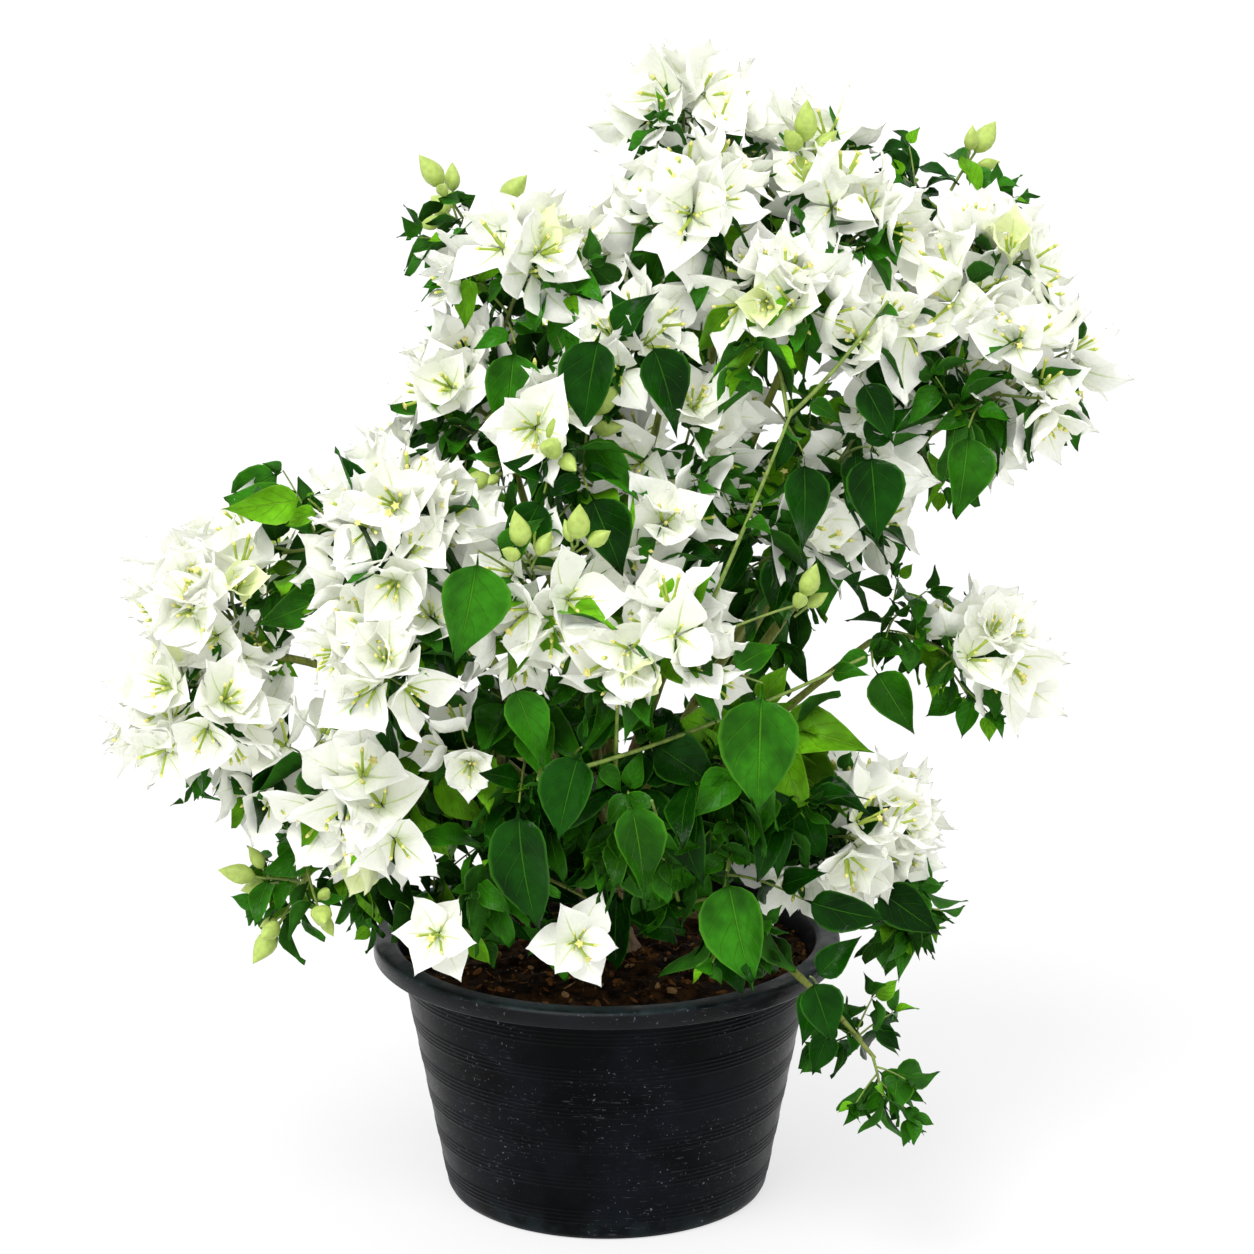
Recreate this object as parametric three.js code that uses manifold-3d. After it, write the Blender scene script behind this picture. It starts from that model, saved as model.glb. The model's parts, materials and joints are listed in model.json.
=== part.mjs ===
// A white bougainvillea bush in a wide round nursery pot, as one rigid plant.
// Millimetres, +Z up. The origin is the middle of the pot's flat underside, and the front is -Y.
// One short woody trunk stands on the soil. Canes leave it and each other, and every cane that
// isn't only a fork carries one mass of flowers and leaves at its tip: a stem, twigs that branch
// from it by a seeded rule, and blades fused on to the twigs. A blade is a leaf, a flower or a bud.
// Each mass keeps to its own cell of space, clear of all the canes.
import * as THREE from "three";
import { mergeVertices } from "three/addons/utils/BufferGeometryUtils.js";
import Module from "manifold-3d";

const wasm = await Module();
wasm.setup();

// Driving dimensions of the pot and its soil
const POT = {
  height: 172,
  rimRadius: 152.5,
  rimBand: 11.4,
  lipInnerRadius: 137,
  footRadius: 105,
  shoulderRadius: 135.5,
  footChamfer: 4,
  edgeChamfer: 1.5,
  wall: 3,
  sides: 40,
};
const SOIL = {
  edgeHeight: 157,
  shoulderHeight: 158.5,
  middleHeight: 161,
  shoulderRadius: 112,
  flatRadius: 32,
};
const GAP = 0.3;
const POT_CLEARANCE = 1;
const MERGE_DISTANCE = 1e-4;
const STEEP = 0.9;

// Driving dimensions of the wood
const TRUNK = {
  foot: [2, 4],
  fork: [-3, 0, 238],
  flareRadius: 19,
  waistRadius: 12,
  forkRadius: 10,
  flareFade: 7,
  sides: 12,
  steps: 5,
};
const CANE = { sides: 5, steps: 5, bendAt: 0.45 };
const STEM = {
  baseRadius: 2.5,
  tipRadius: 2.2,
  forkBaseRadius: 1.6,
  forkTipRadius: 1.5,
  forkAt: 0.9,
  forkArch: 6,
  sides: 4,
};
const TWIG = {
  baseRadius: 1.1,
  tipRadius: 1,
  firstAt: 0.3,
  lastAt: 0.93,
  shortest: 0.56,
  longest: 0.8,
  outward: 0.35,
  sides: 3,
};
const LIMB_CLEARANCE = 0.6;
const SEATING = { rounds: 12, search: 5, stepOut: 0.8 };

// Driving dimensions of the blades
const LEAF = {
  length: 56,
  width: 37,
  thickness: 2.2,
  widestAt: 0.4,
  droop: 0.12,
  rootSunk: 0.8,
  perTwig: 3,
  firstAt: 0.95,
  spacing: 0.24,
  splay: 0.45,
  sag: 0.35,
};
const BLOOM = {
  radius: 36,
  lift: 9,
  crest: 2,
  depth: 4,
  offAxis: 4,
  pairEvery: 5,
  pairAt: 0.5,
  pairOut: 0.6,
};
const BUD = { length: 27, width: 14, rootSunk: 3 };
const BLADE = { smallestSize: 0.88, largestSize: 1.12, leastSize: 0.6, shrink: 0.84, turns: 5 };

// The crown: which way is out of it, and how far a blade may reach past its lobe's radius
const CROWN = { middle: [20, 0, 330], rise: 0.25, reach: 1.3, cellClearance: 0.4 };

// Each cane: what it grows from and how far along that, its tip, how high it arches above the
// straight line, and its radius at each end.
const CANES = [
  cane("left_arching_cane", "trunk", 0.72, [-205, -95, 385], 60, 4.6, 2.4),
  cane("left_upper_cane", "trunk", 0.93, [-112, -112, 425], 10, 4.4, 2.3),
  cane("front_cane", "trunk", 0.62, [-12, -112, 392], 20, 4.2, 2.2),
  cane("centre_cane", "trunk", 1, [12, -58, 436], 0, 4.6, 2.3),
  cane("long_cane", "trunk", 0.91, [124, -48, 590], 30, 4.6, 2.2),
  cane("right_upper_cane", "trunk", 0.72, [196, -20, 504], 10, 4.6, 2.4),
  cane("right_arm_cane", "trunk", 0.5, [168, -14, 372], 20, 4.2, 2.1),
  cane("trailing_cane", "trunk", 0.22, [148, -128, 158], 62, 3.6, 2),
  cane("low_left_cane", "trunk", 0.3, [-52, -78, 238], 10, 3.8, 2.1),
  cane("left_rim_cane", "trunk", 0.36, [-112, -32, 216], 16, 3.6, 2.1),
  cane("back_left_cane", "trunk", 0.8, [-112, 92, 385], 20, 4.4, 2.3),
  cane("back_centre_cane", "trunk", 0.6, [-12, 108, 425], 10, 4.4, 2.3),
  cane("back_right_cane", "trunk", 0.7, [112, 92, 385], 20, 4.4, 2.3),
  cane("left_low_cane", "left_arching_cane", 0.35, [-132, -86, 284], 12, 3.2, 2),
  cane("left_hanging_cane", "left_arching_cane", 0.62, [-188, -80, 276], 4, 2.8, 1.9),
  cane("inner_left_cane", "centre_cane", 0.3, [-66, -46, 520], 6, 3.4, 2.1),
  cane("centre_upper_cane", "centre_cane", 0.66, [22, -44, 548], 0, 3.2, 2.1),
  cane("top_cane", "long_cane", 0.5, [72, 2, 655], 0, 3.2, 2),
  cane("right_mid_cane", "right_upper_cane", 0.3, [118, -34, 430], 2, 3.2, 2),
  cane("right_low_cane", "right_arm_cane", 0.28, [128, -36, 236], 14, 3.2, 2),
  cane("right_sprig_cane", "right_upper_cane", 0.84, [210, 8, 632], 0, 2.8, 1.8),
  cane("front_low_cane", "front_cane", 0.25, [-12, -82, 292], 2, 3.2, 2),
  cane("right_leaves_cane", "long_cane", 0.16, [82, -66, 288], 8, 3.2, 2),
  cane("back_upper_cane", "back_centre_cane", 0.55, [46, 52, 560], 6, 3.2, 2),
  cane("back_side_cane", "back_right_cane", 0.55, [164, 58, 490], 6, 3.2, 2),
  cane("back_low_left_cane", "back_left_cane", 0.28, [-70, 92, 262], 6, 3, 2),
  cane("back_low_right_cane", "back_right_cane", 0.28, [74, 88, 258], 6, 3, 2),
];

// Each mass: the cane that carries it, and its lobes, each a ball of space with its middle, its
// radius, and how many flowering twigs, buds and leaves grow in it.
const MASSES = [
  mass("far_left_blossom", "left_arching_cane", [
    lobe([-243, -90, 424], 54, 5, 1, 1),
    lobe([-252, -110, 346], 56, 5, 0, 1),
  ]),
  mass("left_low_blossom", "left_low_cane", [
    lobe([-140, -112, 300], 54, 5, 0, 2),
    lobe([-200, -92, 318], 44, 3, 0, 2),
  ]),
  mass("left_hanging_spray", "left_hanging_cane", [lobe([-188, -92, 232], 46, 0, 3, 6)]),
  mass("left_blossom", "left_upper_cane", [
    lobe([-125, -120, 468], 58, 5, 0, 1),
    lobe([-206, -66, 460], 46, 1, 0, 4),
    lobe([-125, -142, 396], 54, 4, 0, 2),
  ]),
  mass("front_blossom", "front_cane", [
    lobe([-40, -140, 434], 52, 5, 0, 1),
    lobe([34, -150, 396], 52, 4, 0, 1),
  ]),
  mass("centre_blossom", "centre_cane", [
    lobe([32, -92, 458], 46, 3, 0, 2),
    lobe([-29, -106, 520], 48, 3, 2, 2),
    lobe([50, -64, 512], 46, 2, 0, 3),
  ]),
  mass("upper_left_blossom", "inner_left_cane", [
    lobe([-74, -50, 545], 48, 3, 0, 2),
    lobe([-51, -60, 614], 50, 5, 0, 1),
    lobe([-98, -30, 650], 44, 1, 2, 5),
  ]),
  mass("upper_centre_leaves", "centre_upper_cane", [
    lobe([12, -80, 568], 46, 2, 0, 4),
    lobe([16, -20, 618], 42, 2, 0, 3),
    lobe([60, -60, 648], 46, 4, 0, 1),
  ]),
  mass("top_blossom", "top_cane", [
    lobe([46, -8, 692], 50, 5, 1, 2),
    lobe([136, 0, 680], 42, 3, 1, 1),
  ]),
  mass("upper_right_blossom", "long_cane", [
    lobe([150, -32, 634], 48, 4, 0, 2),
    lobe([100, -84, 590], 48, 4, 0, 2),
    lobe([166, -46, 566], 44, 3, 0, 1),
  ]),
  mass("right_far_blossom", "right_upper_cane", [
    lobe([216, -34, 520], 48, 3, 0, 3),
    lobe([242, -20, 606], 54, 5, 0, 1),
    lobe([262, -50, 546], 54, 4, 0, 1),
  ]),
  mass("right_sprig", "right_sprig_cane", [lobe([214, 10, 656], 38, 0, 1, 4)]),
  mass("right_mid_leaves", "right_mid_cane", [
    lobe([104, -34, 445], 50, 2, 0, 4),
    lobe([148, -42, 498], 50, 2, 0, 5),
  ]),
  mass("right_arm_blossom", "right_arm_cane", [
    lobe([188, 0, 376], 44, 2, 0, 3),
    lobe([246, -2, 364], 46, 3, 0, 2),
  ]),
  mass("right_low_blossom", "right_low_cane", [
    lobe([142, -52, 248], 44, 2, 0, 3),
    lobe([190, 0, 262], 50, 5, 0, 1),
    lobe([182, -40, 192], 40, 0, 0, 4),
  ]),
  mass("right_low_leaves", "right_leaves_cane", [
    lobe([92, -104, 314], 56, 0, 0, 9),
    lobe([72, -112, 232], 50, 0, 0, 6),
  ]),
  mass("centre_leaves", "front_low_cane", [
    lobe([14, -122, 300], 56, 0, 0, 9),
    lobe([-62, -112, 330], 54, 1, 0, 6),
  ]),
  mass("low_left_leaves", "low_left_cane", [
    lobe([-68, -104, 256], 50, 0, 0, 6),
    lobe([-104, -112, 210], 36, 1, 0, 0),
    lobe([-5, -120, 222], 42, 1, 0, 3),
  ]),
  mass("left_rim_leaves", "left_rim_cane", [
    lobe([-130, -38, 228], 44, 0, 0, 6),
    lobe([-118, -36, 300], 46, 1, 0, 5),
  ]),
  mass("trailing_spray", "trailing_cane", [lobe([180, -130, 128], 46, 0, 0, 6)]),
  mass("back_left_blossom", "back_left_cane", [
    lobe([-148, 98, 418], 58, 3, 0, 2),
    lobe([-100, 130, 348], 56, 1, 0, 4),
    lobe([-190, 22, 396], 50, 2, 0, 2),
  ]),
  mass("back_centre_blossom", "back_centre_cane", [
    lobe([-10, 138, 440], 60, 3, 0, 3),
    lobe([-36, 104, 520], 54, 2, 0, 2),
  ]),
  mass("back_upper_blossom", "back_upper_cane", [
    lobe([74, 62, 598], 54, 3, 0, 2),
    lobe([0, 54, 592], 46, 1, 0, 2),
  ]),
  mass("back_side_blossom", "back_side_cane", [lobe([186, 62, 526], 50, 3, 0, 2)]),
  mass("back_right_blossom", "back_right_cane", [
    lobe([150, 104, 424], 58, 3, 0, 2),
    lobe([98, 132, 346], 56, 0, 0, 4),
  ]),
  mass("back_low_left_leaves", "back_low_left_cane", [lobe([-84, 112, 262], 54, 0, 0, 5)]),
  mass("back_low_right_leaves", "back_low_right_cane", [lobe([88, 108, 260], 54, 0, 0, 6)]),
];

// Finishes
const FINISHES = {
  pot: { color: 0x1f2327, roughness: 0.5 },
  soil: { color: 0x3d2717, roughness: 1 },
  bark: { color: 0x8c7f45, roughness: 0.75 },
  blossom: { color: 0xf3f4ea, roughness: 0.6 },
  leaves: { color: 0x2f6b22, roughness: 0.5 },
};

function cane(name, parent, at, tip, arch, baseRadius, tipRadius) {
  return { name, parent, at, tip: new THREE.Vector3(...tip), arch, baseRadius, tipRadius };
}

function mass(name, carrier, lobes) {
  return { name, carrier, lobes };
}

function lobe(middle, radius, blooms, buds, leaves) {
  return { middle: new THREE.Vector3(...middle), radius, blooms, buds, leaves };
}

// A small seeded random stream, numbers from 0 to 1
function randomStream(seed) {
  const modulus = 2147483647;
  let state = (seed * 7919 + 104729) % modulus;
  return () => {
    state = (state * 48271) % modulus;
    return state / modulus;
  };
}

function mix(low, high, share) {
  return low + (high - low) * share;
}

// A three.js geometry as a solid: only its positions matter, with shared corners merged
function solidOf(geometry) {
  const bare = geometry.clone();
  bare.deleteAttribute("normal");
  bare.deleteAttribute("uv");
  const merged = mergeVertices(bare, MERGE_DISTANCE);
  return new wasm.Manifold(
    new wasm.Mesh({
      numProp: 3,
      vertProperties: merged.attributes.position.array,
      triVerts: new Uint32Array(merged.index.array),
    }),
  );
}

function geometryOf(solid) {
  const mesh = solid.getMesh();
  const geometry = new THREE.BufferGeometry();
  geometry.setAttribute("position", new THREE.BufferAttribute(mesh.vertProperties, 3));
  geometry.setIndex(new THREE.BufferAttribute(mesh.triVerts, 1));
  geometry.computeVertexNormals();
  return geometry;
}

// A profile of radius and height turned round the pot's axis
function turned(profile) {
  const points = profile.map(([radius, height]) => new THREE.Vector2(radius, height));
  const geometry = new THREE.LatheGeometry(points, POT.sides);
  geometry.rotateX(Math.PI / 2);
  return geometry;
}

function wallRadius(height) {
  return mix(POT.footRadius, POT.shoulderRadius, height / (POT.height - POT.rimBand));
}

// The pot: a thin tapered wall with a flat foot and a wide lip that turns down at its edge
function potGeometry() {
  const { wall, height, rimRadius, lipInnerRadius, edgeChamfer, footChamfer } = POT;
  const bandUnder = height - POT.rimBand;
  const lipUnder = height - wall;
  return turned([
    [0, 0],
    [POT.footRadius - footChamfer, 0],
    [wallRadius(footChamfer), footChamfer],
    [wallRadius(lipUnder), lipUnder],
    [rimRadius - wall, lipUnder],
    [rimRadius - wall, bandUnder],
    [rimRadius, bandUnder],
    [rimRadius, height - edgeChamfer],
    [rimRadius - edgeChamfer, height],
    [lipInnerRadius + edgeChamfer, height],
    [lipInnerRadius, height - edgeChamfer],
    [wallRadius(SOIL.edgeHeight) - wall, SOIL.edgeHeight],
    [wallRadius(wall) - wall, wall],
    [0, wall],
  ]);
}

// The soil fills the pot to a little under its lip, flat round the trunk's foot
function soilGeometry() {
  const inset = POT.wall + GAP;
  return turned([
    [0, inset],
    [wallRadius(inset) - inset, inset],
    [wallRadius(SOIL.edgeHeight) - inset, SOIL.edgeHeight],
    [SOIL.shoulderRadius, SOIL.shoulderHeight],
    [SOIL.flatRadius, SOIL.middleHeight],
    [0, SOIL.middleHeight],
  ]);
}

// The space that pot and soil take, a little larger, which nothing in the crown may enter
function potKeepOut() {
  const bandUnder = POT.height - POT.rimBand - POT_CLEARANCE;
  const rimRadius = POT.rimRadius + POT_CLEARANCE;
  const soilTop = SOIL.middleHeight + POT_CLEARANCE;
  return solidOf(
    turned([
      [0, -POT_CLEARANCE],
      [POT.footRadius + POT_CLEARANCE, -POT_CLEARANCE],
      [wallRadius(bandUnder) + POT_CLEARANCE, bandUnder],
      [rimRadius, bandUnder],
      [rimRadius, POT.height + POT_CLEARANCE],
      [POT.lipInnerRadius - POT_CLEARANCE, POT.height + POT_CLEARANCE],
      [wallRadius(SOIL.edgeHeight) - POT.wall - POT_CLEARANCE, soilTop],
      [0, soilTop],
    ]),
  );
}

// A limb: a round bar along a curve, with a radius that changes along it
function limb(curve, radiusAt, sides, steps) {
  return { curve, radiusAt, sides, steps };
}

// Its geometry is a cylinder bent to the curve ring by ring, and larger all round by grow
function limbGeometry({ curve, radiusAt, sides, steps }, grow = 0) {
  const geometry = new THREE.CylinderGeometry(1, 1, 1, sides, steps);
  const frames = curve.computeFrenetFrames(steps);
  const position = geometry.attributes.position;
  const point = new THREE.Vector3();
  for (let i = 0; i < position.count; i += 1) {
    const ring = Math.round((position.getY(i) + 0.5) * steps);
    const radius = radiusAt(ring / steps) + grow;
    point.copy(curve.getPoint(ring / steps));
    point.addScaledVector(frames.normals[ring], position.getX(i) * radius);
    point.addScaledVector(frames.binormals[ring], -position.getZ(i) * radius);
    if (ring === 0) point.addScaledVector(frames.tangents[0], -grow);
    if (ring === steps) point.addScaledVector(frames.tangents[ring], grow);
    position.setXYZ(i, point.x, point.y, point.z);
  }
  return geometry;
}

function taper(baseRadius, tipRadius) {
  return (share) => mix(baseRadius, tipRadius, share);
}

// A curve from start to tip whose middle is pulled up by arch above the straight line
function archedCurve(start, tip, arch) {
  const control = start.clone().lerp(tip, CANE.bendAt);
  control.z += arch;
  return new THREE.QuadraticBezierCurve3(start, control, tip);
}

// A place along a limb as it is built, in straight steps, and its direction there
function placeAlong(parent, at) {
  const step = Math.min(Math.floor(at * parent.steps), parent.steps - 1);
  const low = parent.curve.getPoint(step / parent.steps);
  const high = parent.curve.getPoint((step + 1) / parent.steps);
  const along = at === 1 ? parent.curve.getTangent(1) : high.clone().sub(low).normalize();
  return { base: low.lerp(high, at * parent.steps - step), along };
}

// A limb that grows from a place on its parent to a target. Its start slides in or out until the
// flat end stands GAP clear of the parent's skin, or of the parent's own flat tip.
function branch(parent, at, target, arch, radiusAt, sides, steps) {
  const { base, along } = placeAlong(parent, at);
  const heading = target.clone().sub(base);
  heading.z += 2 * arch;
  heading.normalize();
  const outward = at === 1 ? along : heading.addScaledVector(along, -heading.dot(along)).normalize();
  const start = base.addScaledVector(outward, at === 1 ? GAP : parent.radiusAt(at));
  const parentSolid = solidOf(limbGeometry(parent));
  const grown = () => limb(archedCurve(start.clone(), target.clone(), arch), radiusAt, sides, steps);
  for (let round = 0; round < SEATING.rounds; round += 1) {
    const clear = solidOf(limbGeometry(grown())).minGap(parentSolid, SEATING.search);
    start.addScaledVector(outward, clear > 0 ? GAP - clear : SEATING.stepOut);
  }
  return grown();
}

// The trunk stands straight up from the soil on a flared foot, then leans to its fork
function growTrunk() {
  const foot = new THREE.Vector3(...TRUNK.foot, SOIL.middleHeight + GAP);
  const fork = new THREE.Vector3(...TRUNK.fork);
  const upright = new THREE.Vector3(foot.x, foot.y, mix(foot.z, fork.z, 0.5));
  const flare = TRUNK.flareRadius - TRUNK.waistRadius;
  const radiusAt = (share) =>
    mix(TRUNK.waistRadius, TRUNK.forkRadius, share) + flare * Math.exp(-TRUNK.flareFade * share);
  const curve = new THREE.QuadraticBezierCurve3(foot, upright, fork);
  return limb(curve, radiusAt, TRUNK.sides, TRUNK.steps);
}

// The trunk and all canes by name, each cane after the one it grows from
function growLimbs() {
  const limbs = new Map([["trunk", growTrunk()]]);
  for (const c of CANES) {
    const radiusAt = taper(c.baseRadius, c.tipRadius);
    const parent = limbs.get(c.parent);
    limbs.set(c.name, branch(parent, c.at, c.tip, c.arch, radiusAt, CANE.sides, CANE.steps));
  }
  return limbs;
}

// A mass's stem runs from its cane's tip to its first lobe. Each further lobe has a thinner stem
// that forks off the stem of the nearest lobe before it.
function growStems(m, carrier) {
  const stems = [];
  m.lobes.forEach((l, i) => {
    if (i === 0) {
      stems.push(branch(carrier, 1, l.middle, 0, taper(STEM.baseRadius, STEM.tipRadius), STEM.sides, 1));
    } else {
      const away = m.lobes.slice(0, i).map((o) => o.middle.distanceTo(l.middle));
      const nearest = away.indexOf(Math.min(...away));
      const start = stems[nearest].curve.getPoint(STEM.forkAt);
      const curve = archedCurve(start, l.middle.clone(), STEM.forkArch);
      stems.push(limb(curve, taper(STEM.forkBaseRadius, STEM.forkTipRadius), STEM.sides, 1));
    }
  });
  return stems;
}

// Directions spread evenly over a ball, turned by a random angle
function spreadDirections(count, random) {
  const golden = Math.PI * (3 - Math.sqrt(5));
  const phase = random() * 2 * Math.PI;
  return Array.from({ length: count }, (_, i) => {
    const z = 1 - (2 * i + 1) / count;
    const radius = Math.sqrt(1 - z * z);
    const angle = phase + golden * i;
    return new THREE.Vector3(radius * Math.cos(angle), radius * Math.sin(angle), z);
  });
}

// The way out of the bush at a lobe, a little upwards
function outwardOf(l) {
  const out = l.middle.clone().sub(new THREE.Vector3(...CROWN.middle)).normalize();
  out.z += CROWN.rise;
  return out.normalize();
}

// A direction square to an axis, at an angle round it
function sideways(axis, angle) {
  const reference = Math.abs(axis.z) > STEEP ? new THREE.Vector3(1, 0, 0) : new THREE.Vector3(0, 0, 1);
  return new THREE.Vector3().crossVectors(axis, reference).normalize().applyAxisAngle(axis, angle);
}

// A leaf: a flattened octahedron along +Y, widest nearer its root, with a drooping tip
function leafGeometry() {
  const geometry = new THREE.OctahedronGeometry(1);
  const position = geometry.attributes.position;
  for (let i = 0; i < position.count; i += 1) {
    const end = Math.round(position.getY(i));
    const y = end > 0 ? LEAF.length : end < 0 ? -LEAF.rootSunk : LEAF.length * LEAF.widestAt;
    const droop = end > 0 ? LEAF.length * LEAF.droop : 0;
    const x = (position.getX(i) * LEAF.width) / 2;
    position.setXYZ(i, x, y, (position.getZ(i) * LEAF.thickness) / 2 - droop);
  }
  return geometry;
}

// A flower: three pointed bracts round a shallow cup, as one three-cornered shell along +Y, whose
// underside comes to its point a little off the middle so that a twig meets one plain face
function bloomGeometry() {
  const geometry = new THREE.SphereGeometry(1, 3, 2);
  const position = geometry.attributes.position;
  for (let i = 0; i < position.count; i += 1) {
    const end = Math.round(position.getY(i));
    if (end > 0) position.setXYZ(i, 0, BLOOM.crest, 0);
    else if (end < 0) position.setXYZ(i, BLOOM.offAxis, -BLOOM.depth, 0);
    else position.setXYZ(i, position.getX(i) * BLOOM.radius, BLOOM.lift, position.getZ(i) * BLOOM.radius);
  }
  return geometry;
}

// A closed bud: a slim octahedron along +Y
function budGeometry() {
  const geometry = new THREE.OctahedronGeometry(1);
  geometry.scale(BUD.width / 2, BUD.length / 2, BUD.width / 2);
  geometry.translate(0, BUD.length / 2 - BUD.rootSunk, 0);
  return geometry;
}

const BLADES = { leaf: leafGeometry(), bloom: bloomGeometry(), bud: budGeometry() };

// The rule for one lobe. Its twigs start evenly along its stem and point evenly all round. Those
// that point most out of the bush flower, the next end in buds, and the rest carry the leaves.
function growLobe(l, stem, seed) {
  const random = randomStream(seed);
  const out = outwardOf(l);
  const count = l.blooms + l.buds + Math.ceil(l.leaves / LEAF.perTwig);
  const directions = spreadDirections(count, random).sort((a, b) => b.dot(out) - a.dot(out));
  let leavesLeft = l.leaves;
  return directions.map((direction, i) => {
    const heading = direction.addScaledVector(out, TWIG.outward).normalize();
    const reach = l.radius * mix(TWIG.shortest, TWIG.longest, random());
    const twig = {
      start: stem.curve.getPoint(mix(TWIG.lastAt, TWIG.firstAt, i / count)),
      end: l.middle.clone().addScaledVector(heading, reach),
      heading,
      out,
      turn: random() * 2 * Math.PI,
      size: mix(BLADE.smallestSize, BLADE.largestSize, random()),
      blades: [],
    };
    if (i < l.blooms) {
      hangBlooms(twig, i % BLOOM.pairEvery === 1);
    } else if (i < l.blooms + l.buds) {
      hangBlade(twig, "bud", 1, heading, sideways(heading, twig.turn));
    } else {
      const share = Math.min(leavesLeft, LEAF.perTwig);
      hangLeaves(twig, share);
      leavesLeft -= share;
    }
    return twig;
  });
}

function hangBlade(twig, kind, at, direction, facing) {
  twig.blades.push({ kind, root: twig.start.clone().lerp(twig.end, at), direction, facing });
}

// A flower ends its twig and looks out of the bush, and some have a second beside them
function hangBlooms(twig, paired) {
  const facing = twig.heading.clone().add(twig.out).normalize();
  hangBlade(twig, "bloom", 1, facing, sideways(facing, twig.turn));
  if (paired) {
    const beside = sideways(twig.heading, twig.turn).addScaledVector(twig.out, BLOOM.pairOut).normalize();
    hangBlade(twig, "bloom", BLOOM.pairAt, beside, sideways(beside, twig.turn));
  }
}

// Leaves stand round their twig one after another, splayed out from it and sagging a little
function hangLeaves(twig, count) {
  const up = twig.out.clone();
  up.z += 1;
  for (let k = 0; k < count; k += 1) {
    const swing = sideways(twig.heading, twig.turn + (k * 2 * Math.PI) / LEAF.perTwig);
    const direction = twig.heading.clone().multiplyScalar(LEAF.splay).add(swing);
    direction.z -= LEAF.sag;
    hangBlade(twig, "leaf", LEAF.firstAt - k * LEAF.spacing, direction.normalize(), up);
  }
}

// A blade in place: it runs along direction and faces as near to facing as it can
function bladeGeometry(blade, direction, scale) {
  const across = new THREE.Vector3().crossVectors(direction, blade.facing).normalize();
  const normal = new THREE.Vector3().crossVectors(across, direction);
  const matrix = new THREE.Matrix4()
    .makeBasis(across, direction, normal)
    .scale(new THREE.Vector3(scale, scale, scale))
    .setPosition(blade.root);
  return BLADES[blade.kind].clone().applyMatrix4(matrix);
}

// How far a point stands inside a lobe's cell. Flat walls lie between it and the other lobes.
function roomInCell(point, l, others) {
  const own = point.distanceToSquared(l.middle) - l.radius ** 2;
  const rooms = others.map((other) => {
    const theirs = point.distanceToSquared(other.middle) - other.radius ** 2;
    return (theirs - own) / (2 * l.middle.distanceTo(other.middle));
  });
  return Math.min(l.radius * CROWN.reach - point.distanceTo(l.middle), ...rooms);
}

function staysInCell(geometry, l, others) {
  const point = new THREE.Vector3();
  const position = geometry.attributes.position;
  for (let i = 0; i < position.count; i += 1) {
    point.fromBufferAttribute(position, i);
    if (roomInCell(point, l, others) < CROWN.cellClearance) return false;
  }
  return true;
}

function keepOutOf(solid) {
  return { solid, box: solid.boundingBox() };
}

function limbKeepOut(bar) {
  return keepOutOf(solidOf(limbGeometry(bar, LIMB_CLEARANCE)));
}

function boxesMeet(a, b) {
  return [0, 1, 2].every((k) => a.min[k] < b.max[k] && b.min[k] < a.max[k]);
}

function touches(solid, keepOuts) {
  const box = solid.boundingBox();
  return keepOuts.some((k) => boxesMeet(box, k.box) && solid.intersect(k.solid).volume() > 0);
}

// The largest size at which a blade keeps to its cell and clear of all else, or null
function fittedBlade(blade, twig, l, others, keepOuts) {
  for (let scale = twig.size; scale >= BLADE.leastSize; scale *= BLADE.shrink) {
    for (let turn = 0; turn < BLADE.turns; turn += 1) {
      const angle = (turn * 2 * Math.PI) / BLADE.turns;
      const direction = blade.direction.clone().applyAxisAngle(twig.heading, angle);
      const geometry = bladeGeometry(blade, direction, scale);
      if (staysInCell(geometry, l, others)) {
        const solid = solidOf(geometry);
        if (!touches(solid, keepOuts)) return solid;
      }
    }
  }
  return null;
}

// One mass as one solid: its stems, then each twig that fits with the blades that fit on it
function growMass(m, stems, keepOuts, others, seed) {
  let solid = solidOf(limbGeometry(stems[0]));
  for (const stem of stems.slice(1)) solid = solid.add(solidOf(limbGeometry(stem)));
  const placed = [];
  m.lobes.forEach((l, i) => {
    for (const twig of growLobe(l, stems[i], seed + i)) {
      const line = new THREE.LineCurve3(twig.start, twig.end);
      const wood = limbGeometry(limb(line, taper(TWIG.baseRadius, TWIG.tipRadius), TWIG.sides, 1));
      const woodSolid = solidOf(wood);
      if (!staysInCell(wood, l, others) || touches(woodSolid, keepOuts)) continue;
      const before = placed.length;
      for (const blade of twig.blades) {
        const fitted = fittedBlade(blade, twig, l, others, [...keepOuts, ...placed]);
        if (fitted) placed.push(keepOutOf(fitted));
      }
      if (placed.length === before) continue;
      solid = solid.add(woodSolid);
      for (const { solid: bladeSolid } of placed.slice(before)) solid = solid.add(bladeSolid);
    }
  });
  return solid.decompose().sort((a, b) => b.volume() - a.volume())[0];
}

// A mass takes the look of what covers more of it
function massFinish(m) {
  const blooms = m.lobes.reduce((sum, l) => sum + l.blooms, 0);
  const leafTwigs = m.lobes.reduce((sum, l) => sum + l.leaves / LEAF.perTwig, 0);
  return blooms > leafTwigs ? FINISHES.blossom : FINISHES.leaves;
}

function meshOf(name, geometry, finish) {
  const mesh = new THREE.Mesh(geometry, new THREE.MeshStandardMaterial({ metalness: 0, ...finish }));
  mesh.name = name;
  return mesh;
}

const plant = new THREE.Group();
plant.add(meshOf("pot", potGeometry(), FINISHES.pot));
plant.add(meshOf("soil", soilGeometry(), FINISHES.soil));

const limbs = growLimbs();
for (const [name, bar] of limbs) {
  plant.add(meshOf(name, limbGeometry(bar), FINISHES.bark));
}

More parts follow.
